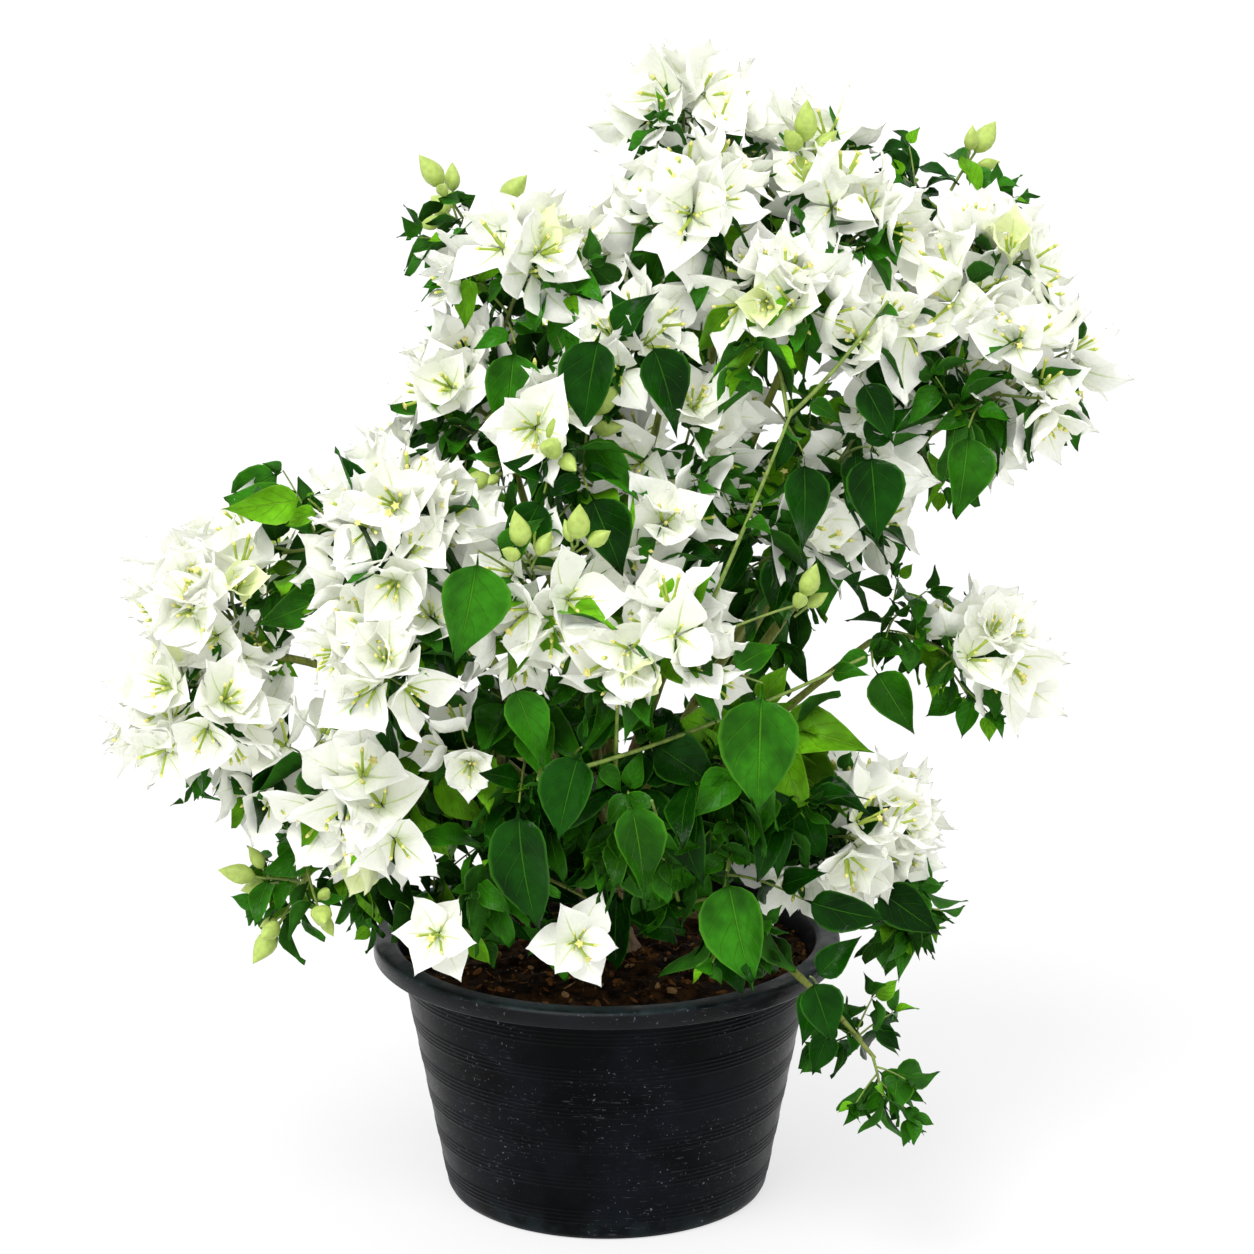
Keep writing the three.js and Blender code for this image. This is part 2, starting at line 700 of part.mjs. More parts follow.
const stemsOf = new Map(MASSES.map((m) => [m, growStems(m, limbs.get(m.carrier))]));
const fixedKeepOuts = [keepOutOf(potKeepOut()), ...[...limbs.values()].map(limbKeepOut)];
MASSES.forEach((m, index) => {
  const otherMasses = MASSES.filter((o) => o !== m);
  const otherLobes = otherMasses.flatMap((o) => o.lobes);
  const otherStems = otherMasses.flatMap((o) => stemsOf.get(o));
  const keepOuts = [...fixedKeepOuts, ...otherStems.map(limbKeepOut)];
  const solid = growMass(m, stemsOf.get(m), keepOuts, otherLobes, 10 * index + 1);
  plant.add(meshOf(m.name, geometryOf(solid), massFinish(m)));
});

export default plant;
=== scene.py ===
"""White bougainvillea bush in a black nursery pot, laid out as a Blender add-on and run as a script.

The growth rule places every limb, twig, leaf, bract, tube and bud in millimetres, in the CAD frame:
+Z up, -Y is the front, and the origin is the middle of the pot's underside. Geometry Nodes then put
a small template on each place, and the results become plain meshes in metres.
"""
import functools
import json
import math
from collections import namedtuple

import bpy
from bpy.props import FloatProperty, FloatVectorProperty, IntProperty, PointerProperty
from bpy.types import Operator, Panel, PropertyGroup
from mathutils import Matrix, Quaternion, Vector, noise

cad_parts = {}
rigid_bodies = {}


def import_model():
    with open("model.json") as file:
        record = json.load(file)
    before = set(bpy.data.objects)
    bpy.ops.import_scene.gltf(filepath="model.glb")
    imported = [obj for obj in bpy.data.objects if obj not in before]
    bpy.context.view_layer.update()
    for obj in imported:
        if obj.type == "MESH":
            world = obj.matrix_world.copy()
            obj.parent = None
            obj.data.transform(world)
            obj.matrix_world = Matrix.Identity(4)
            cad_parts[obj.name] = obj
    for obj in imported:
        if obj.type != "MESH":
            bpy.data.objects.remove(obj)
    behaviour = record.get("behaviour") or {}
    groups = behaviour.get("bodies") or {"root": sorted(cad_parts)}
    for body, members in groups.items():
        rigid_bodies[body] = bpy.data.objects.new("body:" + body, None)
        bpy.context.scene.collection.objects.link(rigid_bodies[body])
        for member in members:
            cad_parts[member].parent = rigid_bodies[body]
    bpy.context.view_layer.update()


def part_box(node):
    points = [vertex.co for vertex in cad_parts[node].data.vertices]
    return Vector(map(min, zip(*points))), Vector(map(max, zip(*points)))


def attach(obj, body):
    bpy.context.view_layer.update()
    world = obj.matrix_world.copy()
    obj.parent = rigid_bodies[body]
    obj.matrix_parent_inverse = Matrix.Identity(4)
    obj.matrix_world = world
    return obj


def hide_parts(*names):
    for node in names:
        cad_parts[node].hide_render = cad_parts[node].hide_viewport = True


bl_info = {
    "name": "Potted White Bougainvillea",
    "version": (1, 0, 0),
    "blender": (4, 5, 0),
    "location": "View3D > Sidebar > Plant",
    "description": "Builds a white flowering bush in its nursery pot, piece by piece",
    "category": "Object",
}

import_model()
BODY = "root"
MM = 0.001
TURN = 2 * math.pi

# The pot and its soil, with lengths in millimetres
POT_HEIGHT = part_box("pot")[1][2] / MM
RIM_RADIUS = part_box("pot")[1][0] / MM
RIM_BAND = 11.4
LIP_INNER_RADIUS = 137
FOOT_RADIUS = 105
SHOULDER_RADIUS = 135.5
WALL = 3
SOIL_EDGE_HEIGHT = 157
SOIL_MIDDLE_HEIGHT = 161
SOIL_FLAT_RADIUS = 32
SOIL_GAP = 0.3
SOIL_RINGS = 56
POT_CLEARANCE = 2
POT_SIDES = 192
SOIL_SIDES = 144
# Flakes and crumbs of bark: how long, wide and thick each is, as shares of the chip size
CHIP_FORMS = ((1.0, 0.36, 0.2), (0.8, 0.5, 0.35), (1.35, 0.14, 0.12), (0.55, 0.4, 0.4))
# Dark, brown and tan chips by their place in the list of finishes
CHIP_DEAL = (0, 1, 0, 1, 0, 1, 0, 0, 1, 2)

# The wood, with lengths in millimetres and places as shares of the way along a limb
TRUNK_FOOT = (2, 4, 159)
TRUNK_FORK = (-3, 0, 238)
TRUNK_WAIST_RADIUS = 12
TRUNK_FORK_RADIUS = 10
TRUNK_FLARE = 7
TRUNK_FLARE_FADE = 7
TRUNK_STEPS = 70
TRUNK_SIDES = 56
CANE_SIDES = 9
CANE_RING_PITCH = 2.6
CANE_SWAY = 1.6
NODE_SWELL = 0.34
NODE_HALF_LENGTH = 2.2
COLLAR_SWELL = 1.6
COLLAR_LENGTH = 9
BEND_AT = 0.45
STEM_FORK_AT = 0.9
STEM_FORK_ARCH = 6

# Twigs: how they leave their stem and how far they reach in their lobe
TWIG_FIRST_AT = 0.3
TWIG_LAST_AT = 0.93
TWIG_SHORTEST = 0.56
TWIG_LONGEST = 0.8
TWIG_OUTWARD = 0.35
PAIR_EVERY = 5
LEAVES_PER_TWIG = 3
SMALLEST_SIZE = 0.88
LARGEST_SIZE = 1.12

# The crown: which way is out of it, how far anything may reach past its lobe's radius, where
# flowers sit on a twig, the heights at which leaves change, and the radius inside which low leaves turn deep
# green as painted shade
CROWN_MIDDLE = (20, 0, 330)
CROWN_RISE = 0.25
REACH = 1.3
STRAY = 7
CLUSTER_AT = 0.7
PAINTED_SHADE_RADIUS = 105
FLOWER_ROOM = 20
LOW_CROWN = 345
HIGH_CROWN = 420
OPEN_FLOWER_SEED = 900
BUD_SPRAY_SEED = 950

# Lows and highs of what a twig carries: lengths in millimetres, openness in radians, shares
STALK_LENGTHS = (7, 15)
SHOOT_LENGTHS = (20, 32)
CLUSTER_OPENNESS = (0.62, 1.12)
FLOWER_SIZES = (0.84, 1.1)

# Tints of the leaves, by their place in the list of leaf materials
DEEP, MIDDLE, FRESH = 0, 1, 2
# Tints of the bracts
WHITE, CREAM = 0, 1

Cane = namedtuple("Cane", "name parent at tip arch base_radius tip_radius")
Mass = namedtuple("Mass", "name carrier leaf_size lobes")
Lobe = namedtuple("Lobe", "middle radius blooms buds leaves")
Limb = namedtuple("Limb", "curve base_radius tip_radius base_age tip_age")
Twig = namedtuple("Twig", "start end heading out turn size")
Path = namedtuple("Path", "points base_radius tip_radius age")
Place = namedtuple("Place", "root along facing size shape tint")
LargeLeaf = namedtuple("LargeLeaf", "root hang size tint")
OpenFlower = namedtuple("OpenFlower", "seat facing size")
BudSpray = namedtuple("BudSpray", "seat heading size")
FrontShoot = namedtuple("FrontShoot", "start end arch")


def mass(name, carrier, leaf_size, *rows):
    return Mass(name, carrier, leaf_size, [Lobe(Vector(row[:3]), *row[3:]) for row in rows])


def placed(kind, *rows):
    """Named rows whose first two entries are vectors."""
    return [kind(Vector(first), Vector(second), *others) for first, second, *others in rows]


CANES = [
    Cane("left_arching_cane", "trunk", 0.72, (-205, -95, 385), 60, 4.6, 2.4),
    Cane("left_upper_cane", "trunk", 0.93, (-112, -112, 425), 10, 4.4, 2.3),
    Cane("front_cane", "trunk", 0.62, (-12, -112, 392), 20, 4.2, 2.2),
    Cane("centre_cane", "trunk", 1, (12, -58, 436), 0, 4.6, 2.3),
    Cane("long_cane", "trunk", 0.91, (124, -48, 590), 30, 4.6, 2.2),
    Cane("right_upper_cane", "trunk", 0.72, (196, -20, 504), 10, 4.6, 2.4),
    Cane("right_arm_cane", "trunk", 0.5, (168, -14, 372), 20, 4.2, 2.1),
    Cane("trailing_cane", "trunk", 0.22, (148, -128, 158), 62, 3.6, 2),
    Cane("low_left_cane", "trunk", 0.3, (-52, -78, 238), 10, 3.8, 2.1),
    Cane("left_rim_cane", "trunk", 0.36, (-112, -32, 216), 16, 3.6, 2.1),
    Cane("back_left_cane", "trunk", 0.8, (-112, 92, 385), 20, 4.4, 2.3),
    Cane("back_centre_cane", "trunk", 0.6, (-12, 108, 425), 10, 4.4, 2.3),
    Cane("back_right_cane", "trunk", 0.7, (112, 92, 385), 20, 4.4, 2.3),
    Cane("left_low_cane", "left_arching_cane", 0.35, (-132, -86, 284), 12, 3.2, 2),
    Cane("left_hanging_cane", "left_arching_cane", 0.62, (-188, -80, 276), 4, 2.8, 1.9),
    Cane("inner_left_cane", "centre_cane", 0.3, (-66, -46, 520), 6, 3.4, 2.1),
    Cane("centre_upper_cane", "centre_cane", 0.66, (22, -44, 548), 0, 3.2, 2.1),
    Cane("top_cane", "long_cane", 0.5, (72, 2, 655), 0, 3.2, 2),
    Cane("right_mid_cane", "right_upper_cane", 0.3, (118, -34, 430), 2, 3.2, 2),
    Cane("right_low_cane", "right_arm_cane", 0.28, (128, -36, 236), 14, 3.2, 2),
    Cane("right_sprig_cane", "right_upper_cane", 0.84, (210, 8, 632), 0, 2.8, 1.8),
    Cane("front_low_cane", "front_cane", 0.25, (-12, -82, 292), 2, 3.2, 2),
    Cane("right_leaves_cane", "long_cane", 0.16, (82, -66, 288), 8, 3.2, 2),
    Cane("back_upper_cane", "back_centre_cane", 0.55, (46, 52, 560), 6, 3.2, 2),
    Cane("back_side_cane", "back_right_cane", 0.55, (164, 58, 490), 6, 3.2, 2),
    Cane("back_low_left_cane", "back_left_cane", 0.28, (-70, 92, 262), 6, 3, 2),
    Cane("back_low_right_cane", "back_right_cane", 0.28, (74, 88, 258), 6, 3, 2),
]

# Each mass: its carrier, how large its leaves are against a grown one, then its lobes with the
# middle in three numbers, radius, flowering twigs, buds and leaves
MASSES = [
    mass("far_left_blossom", "left_arching_cane", 0.55, (-240, -90, 414, 48, 6, 1, 1),
         (-246, -110, 346, 52, 6, 0, 1)),
    mass("left_low_blossom", "left_low_cane", 0.8, (-140, -112, 300, 54, 5, 0, 3),
         (-200, -92, 318, 44, 3, 0, 2)),
    mass("left_hanging_spray", "left_hanging_cane", 0.55, (-188, -92, 232, 46, 0, 3, 6)),
    mass("left_blossom", "left_upper_cane", 0.95, (-122, -122, 464, 56, 7, 0, 1),
         (-200, -70, 444, 42, 1, 0, 4), (-125, -142, 396, 54, 5, 0, 3)),
    mass("front_blossom", "front_cane", 0.9, (-40, -140, 434, 52, 5, 0, 3), (34, -150, 396, 52, 4, 0, 3)),
    mass("centre_blossom", "centre_cane", 0.85, (32, -92, 458, 46, 3, 0, 4),
         (-29, -110, 516, 48, 1, 4, 5), (50, -68, 512, 46, 3, 0, 3)),
    mass("upper_left_blossom", "inner_left_cane", 0.65, (-80, -58, 534, 46, 3, 0, 4),
         (-51, -60, 614, 50, 4, 0, 4), (-84, -30, 638, 38, 0, 3, 5)),
    mass("upper_centre_leaves", "centre_upper_cane", 0.75, (12, -80, 566, 46, 3, 0, 4),
         (16, -20, 618, 42, 2, 0, 3), (60, -60, 648, 46, 4, 0, 2)),
    mass("top_blossom", "top_cane", 0.6, (46, -8, 696, 50, 4, 1, 5), (132, 0, 664, 38, 2, 1, 4)),
    mass("upper_right_blossom", "long_cane", 0.75, (150, -32, 634, 48, 3, 0, 6),
         (100, -84, 590, 48, 4, 0, 4), (166, -50, 566, 44, 3, 0, 3)),
    mass("right_far_blossom", "right_upper_cane", 0.8, (216, -34, 520, 48, 2, 0, 6),
         (236, -24, 606, 50, 5, 0, 2), (256, -50, 546, 50, 4, 0, 3)),
    mass("right_sprig", "right_sprig_cane", 0.6, (214, 10, 656, 38, 0, 1, 4)),
    mass("right_mid_leaves", "right_mid_cane", 1.1, (104, -38, 445, 50, 3, 0, 4),
         (148, -42, 498, 50, 2, 0, 5)),
    mass("right_arm_blossom", "right_arm_cane", 0.6, (186, -8, 376, 38, 0, 0, 4),
         (236, -12, 356, 38, 4, 0, 1)),
    mass("right_low_blossom", "right_low_cane", 0.85, (136, -76, 260, 44, 4, 0, 1),
         (162, -50, 260, 46, 6, 0, 1), (176, -52, 206, 36, 0, 0, 4)),
    mass("right_low_leaves", "right_leaves_cane", 1.2, (92, -104, 314, 56, 0, 0, 9),
         (72, -112, 232, 50, 0, 0, 6)),
    mass("centre_leaves", "front_low_cane", 1.15, (14, -122, 300, 56, 0, 0, 9),
         (-62, -112, 330, 54, 1, 0, 6)),
    mass("low_left_leaves", "low_left_cane", 1.15, (-68, -104, 256, 50, 0, 0, 6),
         (-104, -112, 216, 36, 0, 0, 2), (0, -118, 228, 42, 0, 0, 4)),
    mass("left_rim_leaves", "left_rim_cane", 0.8, (-130, -32, 230, 46, 0, 0, 7),
         (-118, -26, 300, 48, 1, 0, 6), (-92, 16, 262, 46, 0, 0, 6)),
    mass("trailing_spray", "trailing_cane", 0.6, (168, -130, 134, 42, 0, 0, 6)),
    mass("back_left_blossom", "back_left_cane", 0.9, (-148, 98, 418, 58, 3, 0, 2),
         (-82, 128, 346, 56, 1, 0, 7), (-190, 22, 396, 50, 2, 0, 2), (-124, 50, 452, 48, 1, 0, 6)),
    mass("back_centre_blossom", "back_centre_cane", 0.9, (-10, 138, 440, 60, 3, 0, 3),
         (-36, 104, 520, 54, 2, 0, 2)),
    mass("back_upper_blossom", "back_upper_cane", 0.8, (74, 62, 598, 54, 3, 0, 2),
         (0, 54, 592, 46, 1, 0, 2)),
    mass("back_side_blossom", "back_side_cane", 0.8, (186, 62, 526, 50, 3, 0, 2)),
    mass("back_right_blossom", "back_right_cane", 0.9, (150, 102, 424, 58, 3, 0, 2),
         (74, 130, 342, 56, 0, 0, 8)),
    mass("back_low_left_leaves", "back_low_left_cane", 1.1, (-60, 114, 258, 54, 0, 0, 10)),
    mass("back_low_right_leaves", "back_low_right_cane", 1.1, (62, 112, 256, 54, 0, 0, 10)),
]

# The largest leaves stand out in front of the crown, each on a shoot of its own: where its stalk
# ends, the way it hangs, its size against a grown leaf, and its tint
LARGE_LEAVES = placed(
    LargeLeaf,
    ((-2, -136, 596), (-0.25, -0.2, -1), 1.0, DEEP),
    ((26, -126, 590), (0.45, -0.2, -1), 1.02, DEEP),
    ((-54, -112, 584), (-0.1, -0.3, -1), 1.0, MIDDLE),
    ((120, -112, 516), (0.05, -0.3, -1), 1.0, DEEP),
    ((160, -112, 520), (0.1, -0.3, -1), 0.95, DEEP),
    ((154, -98, 560), (0.5, -0.3, -0.8), 0.72, DEEP),
    ((222, -82, 526), (-0.1, -0.3, -1), 0.92, MIDDLE),
    ((-180, -112, 488), (-1, -0.3, -0.1), 0.85, FRESH),
    ((-74, -196, 476), (-0.15, -0.2, -1), 1.12, MIDDLE),
    ((-160, -130, 436), (-1, -0.3, -0.45), 0.9, MIDDLE),
    ((166, -80, 374), (0.5, -0.4, -0.75), 0.8, MIDDLE),
    ((-56, -170, 390), (0.35, -0.3, -0.75), 0.95, MIDDLE),
    ((94, -176, 390), (-0.05, -0.25, -1), 1.3, MIDDLE),
    ((-52, -164, 312), (0, -0.25, -1), 1.3, DEEP),
    ((74, -150, 264), (0.2, -0.3, -1), 1.25, MIDDLE),
    ((14, -178, 322), (0.25, -0.3, -1), 1.15, MIDDLE),
    ((-14, -176, 350), (-0.3, -0.3, -0.9), 0.95, DEEP),
    ((122, -122, 236), (0.9, -0.3, -0.25), 0.85, DEEP),
    ((168, -86, 232), (0.8, -0.3, -0.5), 0.85, DEEP),
    ((-206, -118, 324), (-0.1, -0.3, -1), 0.8, DEEP),
    ((126, -152, 196), (0.35, -0.3, -0.9), 0.72, DEEP),
    ((-36, -158, 502), (-0.45, -0.2, -0.9), 0.85, DEEP),
    ((-10, -158, 504), (0.4, -0.2, -0.9), 0.9, DEEP),
)

# Flowers that open wide by themselves over the rim: where each sits, where it looks, and its size
OPEN_FLOWERS = placed(
    OpenFlower,
    ((-103, -136, 218), (-0.2, -1, 0.2), 0.86),
    ((-18, -148, 217), (0.12, -1, 0.3), 0.9),
)

# Sprays of three buds that stand out: where each sits, where it points, and its size
BUD_SPRAYS = placed(
    BudSpray,
    ((-46, -182, 470), (-0.25, -0.3, 1), 1.05),
    ((-16, -182, 476), (0.15, -0.4, 1), 1.1),
    ((118, -134, 428), (0.4, -0.3, 1), 1.0),
    ((122, -26, 688), (0.05, -0.2, 1), 1.15),
)

# Longer green stems that cross in front of the leaves
FRONT_SHOOTS = placed(
    FrontShoot,
    ((-40, -176, 330), (160, -94, 384), -12),
    ((6, -140, 316), (8, -180, 394), 4),
    ((46, -122, 230), (28, -180, 318), 6),
    ((56, -140, 412), (112, -134, 548), -6),
    ((110, -118, 540), (170, -104, 608), -8),
)

# The blades: rows of (along, half width), and forms bent by shares of the blade's own size
BladeForm = namedtuple("BladeForm", "wave slim fold curl twist cup bow tip", defaults=(1, 0, 0, 0, 0, 0, 0))
LEAF_ROWS = ((0.12, 0.05), (0.15, 0.42), (0.21, 0.76), (0.30, 0.96), (0.42, 1.0), (0.56, 0.88),
             (0.70, 0.62), (0.82, 0.32), (0.92, 0.10))
# Broad and folded, curled, deeply folded, and slender and twisted
LEAF_FORMS = (BladeForm(0.04, fold=0.50, curl=0.16), BladeForm(0.05, 0.84, 0.30, 0.34, 0.05),
              BladeForm(0.03, 0.9, 0.66, 0.10, -0.05), BladeForm(0.06, 0.76, 0.40, 0.24, 0.10))
BRACT_ROWS = ((0.05, 0.34), (0.14, 0.72), (0.27, 0.96), (0.41, 1.0), (0.55, 0.88), (0.68, 0.60),
              (0.80, 0.31), (0.91, 0.11))
# Cupped, open, with a turned back tip, and rippled
BRACT_FORMS = (BladeForm(0.04, cup=0.40, bow=0.16, tip=0.12), BladeForm(0.06, cup=0.16, bow=0.08, tip=0.22),
               BladeForm(0.04, cup=0.32, bow=0.12, tip=0.34), BladeForm(0.08, cup=-0.08, bow=0.14, tip=0.14))
TIP_TURNS_AT = 0.62
# The star at the end of an open tube: how far in the gaps between its lobes are drawn, and from
# which distance off its axis, in metres
STAR_NOTCH = 0.55
STAR_NOTCH_FROM = 0.0025

# Each leaf finish: its setting, the colour of its veins and of the painted highlight along its edge, and its
# roughness
LEAF_LOOKS = (("deep", (0.040, 0.170, 0.010), 0.24), ("middle", (0.075, 0.260, 0.014), 0.26),
              ("fresh", (0.20, 0.42, 0.03), 0.42))
# The underside's veins, and the painted highlight along its edge
UNDER_VEIN_AND_EDGE_HIGHLIGHT = (0.09, 0.24, 0.04)

# The stage, in metres and degrees
FLOOR_HALF = 20
KEY_SHINES = (0.36, 0.66, -1)
CAMERA_PLACE = (0.0132, -2.4, 1.008)
CAMERA_LOOKS_DOWN = 14.7


# Sizes and colours that a user would change

def amount(name, description, default, **more):
    return FloatProperty(name=name, description=description, default=default, min=0, **more)


def whole(name, description, default):
    return IntProperty(name=name, description=description, default=default, min=2)


def length(*about):
    return amount(*about, unit="LENGTH", precision=4)


def share(*about):
    return amount(*about, max=1, subtype="FACTOR")


def colour(name, description, default):
    return FloatVectorProperty(name=name, description=description, default=default, size=3,
                               min=0, max=1, subtype="COLOR")


class PotSettings(PropertyGroup):
    ring_groups: whole("Ring groups", "Groups of fine rings round the wall", 6)
    rings_per_group: whole("Rings per group", "Fine rings in each group", 4)
    ring_pitch: length("Ring pitch", "Distance from one ring of a group to the next", 0.0029)
    ring_depth: length("Ring height", "How far each ring stands out", 0.00035)
    plastic: colour("Plastic", "Black plastic of the pot", (0.0013, 0.0018, 0.0028))
    dust: colour("Dust", "Dry dust on the lip and the foot", (0.019, 0.032, 0.034))
    scratch: colour("Scratch", "Pale scuffs and scratches", (0.085, 0.095, 0.11))


class SoilSettings(PropertyGroup):
    relief: length("Relief", "Height of the lumps in the soil", 0.0060)
    chip_density: amount("Chip density", "Chips on each square metre", 36000)
    chip_size: length("Chip size", "Size of a large bark chip", 0.0108)
    damp: colour("Damp soil", "Dark damp soil", (0.0040, 0.0018, 0.0008))
    brown: colour("Brown chips", "Red brown bark chips", (0.24, 0.105, 0.030))
    tan: colour("Tan chips", "Dry pale chips", (0.42, 0.25, 0.11))


class WoodSettings(PropertyGroup):
    trunk_relief: length("Trunk relief", "Depth of the furrows in the trunk's bark", 0.0010)
    cane_relief: length("Cane relief", "Depth of the ridges on the canes", 0.00022)
    node_spacing: length("Node spacing", "Distance between the swellings of a cane", 0.027)
    old_bark: colour("Old bark", "Tan bark of the trunk and the oldest canes", (0.27, 0.17, 0.085))
    green_bark: colour("Green bark", "Olive green bark of young canes", (0.23, 0.27, 0.045))
    shoot: colour("Shoot", "Fresh green twigs", (0.22, 0.33, 0.050))


class LeafSettings(PropertyGroup):
    blade_length: length("Leaf length", "Length of a grown leaf", 0.062)
    blade_width: length("Leaf width", "Width of a grown leaf", 0.038)
    thickness: length("Leaf thickness", "Thickness of a leaf at its midrib", 0.0008)
    # Deep green is for old leaves, and is also painted shade on the leaves low inside the crown
    deep: colour("Deep green", "Old leaves", (0.0042, 0.043, 0.0010))
    middle: colour("Middle green", "Most leaves on the outside", (0.0225, 0.138, 0.0040))
    fresh: colour("Fresh green", "Young leaves", (0.110, 0.330, 0.006))
    under: colour("Underside", "Paler underside of a leaf", (0.022, 0.110, 0.007))


class BlossomSettings(PropertyGroup):
    bract_length: length("Bract length", "Length of a grown bract", 0.037)
    bract_width: length("Bract width", "Width of a grown bract", 0.031)
    thickness: length("Bract thickness", "Thickness of a bract at its midrib", 0.0005)
    white: colour("White", "Grown bracts", (0.90, 0.91, 0.84))
    cream: colour("Cream", "Young bracts", (0.80, 0.86, 0.50))
    rib: colour("Rib", "Yellow green midrib of a bract", (0.46, 0.60, 0.12))
    # The glow is painted light: an even glow that stands for daylight shining through a bract
    glow: share("Glow", "How much daylight shines through a bract", 0.1)
    tube: colour("Tube", "Slender flower tubes inside the bracts", (0.42, 0.55, 0.07))
    star: colour("Star", "Small open flowers at the tips of the tubes", (0.88, 0.82, 0.26))
    bud: colour("Bud", "Closed buds", (0.46, 0.60, 0.13))


class StageSettings(PropertyGroup):
    floor: colour("Floor", "Plain pale floor", (0.28, 0.28, 0.28))
    floor_glow: share("Floor glow", "How far the floor is lit up evenly", 0.66)
    key_strength: amount("Key light", "Strength of the large soft light", 2.0)
    key_spread: amount("Key spread", "How wide the key light is, seen from the plant", math.radians(32),
                       subtype="ANGLE")
    sky: amount("Sky", "Strength of the white light from all round", 1.0)
    lens: amount("Lens", "Focal length for a 36 mm sensor, in millimetres", 111.1)


# Small tools for the growth rule

def mix(low, high, part):
    return low + (high - low) * part


class Draw:
    """Seeded numbers between two values, drawn as the part's source draws them."""

    modulus = 2147483647

    def __init__(self, seed):
        self.state = (seed * 7919 + 104729) % self.modulus

    def __call__(self, low=0, high=1):
        self.state = self.state * 48271 % self.modulus
        return mix(low, high, self.state / self.modulus)


def polar(radius, angle, height):
    return Vector((radius * math.cos(angle), radius * math.sin(angle), height))


def lean(axis, side, angle):
    """An axis turned towards a side by an angle."""
    return axis * math.cos(angle) + side * math.sin(angle)


def arched_curve(start, tip, arch):
    control = start.lerp(tip, BEND_AT)
    control.z += arch
    return start, control, tip


def point_on(curve, at):
    start, control, tip = curve
    return start * (1 - at) ** 2 + control * (2 * (1 - at) * at) + tip * at ** 2


def sideways(axis, angle):
    """A direction square to an axis, at an angle round it."""
    reference = Vector((1, 0, 0)) if abs(axis.z) > 0.9 else Vector((0, 0, 1))
    side = axis.cross(reference).normalized()
    side.rotate(Quaternion(axis, angle))
    return side


def spread_directions(count, draw):
    """Directions spread evenly over a ball, turned by a random angle."""
    golden = math.pi * (3 - math.sqrt(5))
    phase = draw() * TURN
    heights = [1 - (2 * i + 1) / count for i in range(count)]
    return [polar(math.sqrt(1 - z * z), phase + golden * i, z) for i, z in enumerate(heights)]


def outward_of(lobe):
    """The way out of the bush at a lobe, a little upwards."""
    out = (lobe.middle - Vector(CROWN_MIDDLE)).normalized()
    out.z += CROWN_RISE
    return out.normalized()


def wall_radius(height):
    """The pot's outer radius at a height."""
    return mix(FOOT_RADIUS, SHOULDER_RADIUS, height / (POT_HEIGHT - RIM_BAND))


def clear_of_pot(point):
    """Whether a point stands outside the pot, or inside it above the soil."""
    radius = math.hypot(point.x, point.y)
    if point.z > POT_HEIGHT + POT_CLEARANCE:
        return True
    if radius < LIP_INNER_RADIUS - 2 * POT_CLEARANCE:
        return point.z > SOIL_MIDDLE_HEIGHT + POT_CLEARANCE
    return radius > RIM_RADIUS + POT_CLEARANCE


def clear_along(root, tip, places):
    return all(clear_of_pot(root.lerp(tip, at)) for at in places)


# The growth rule

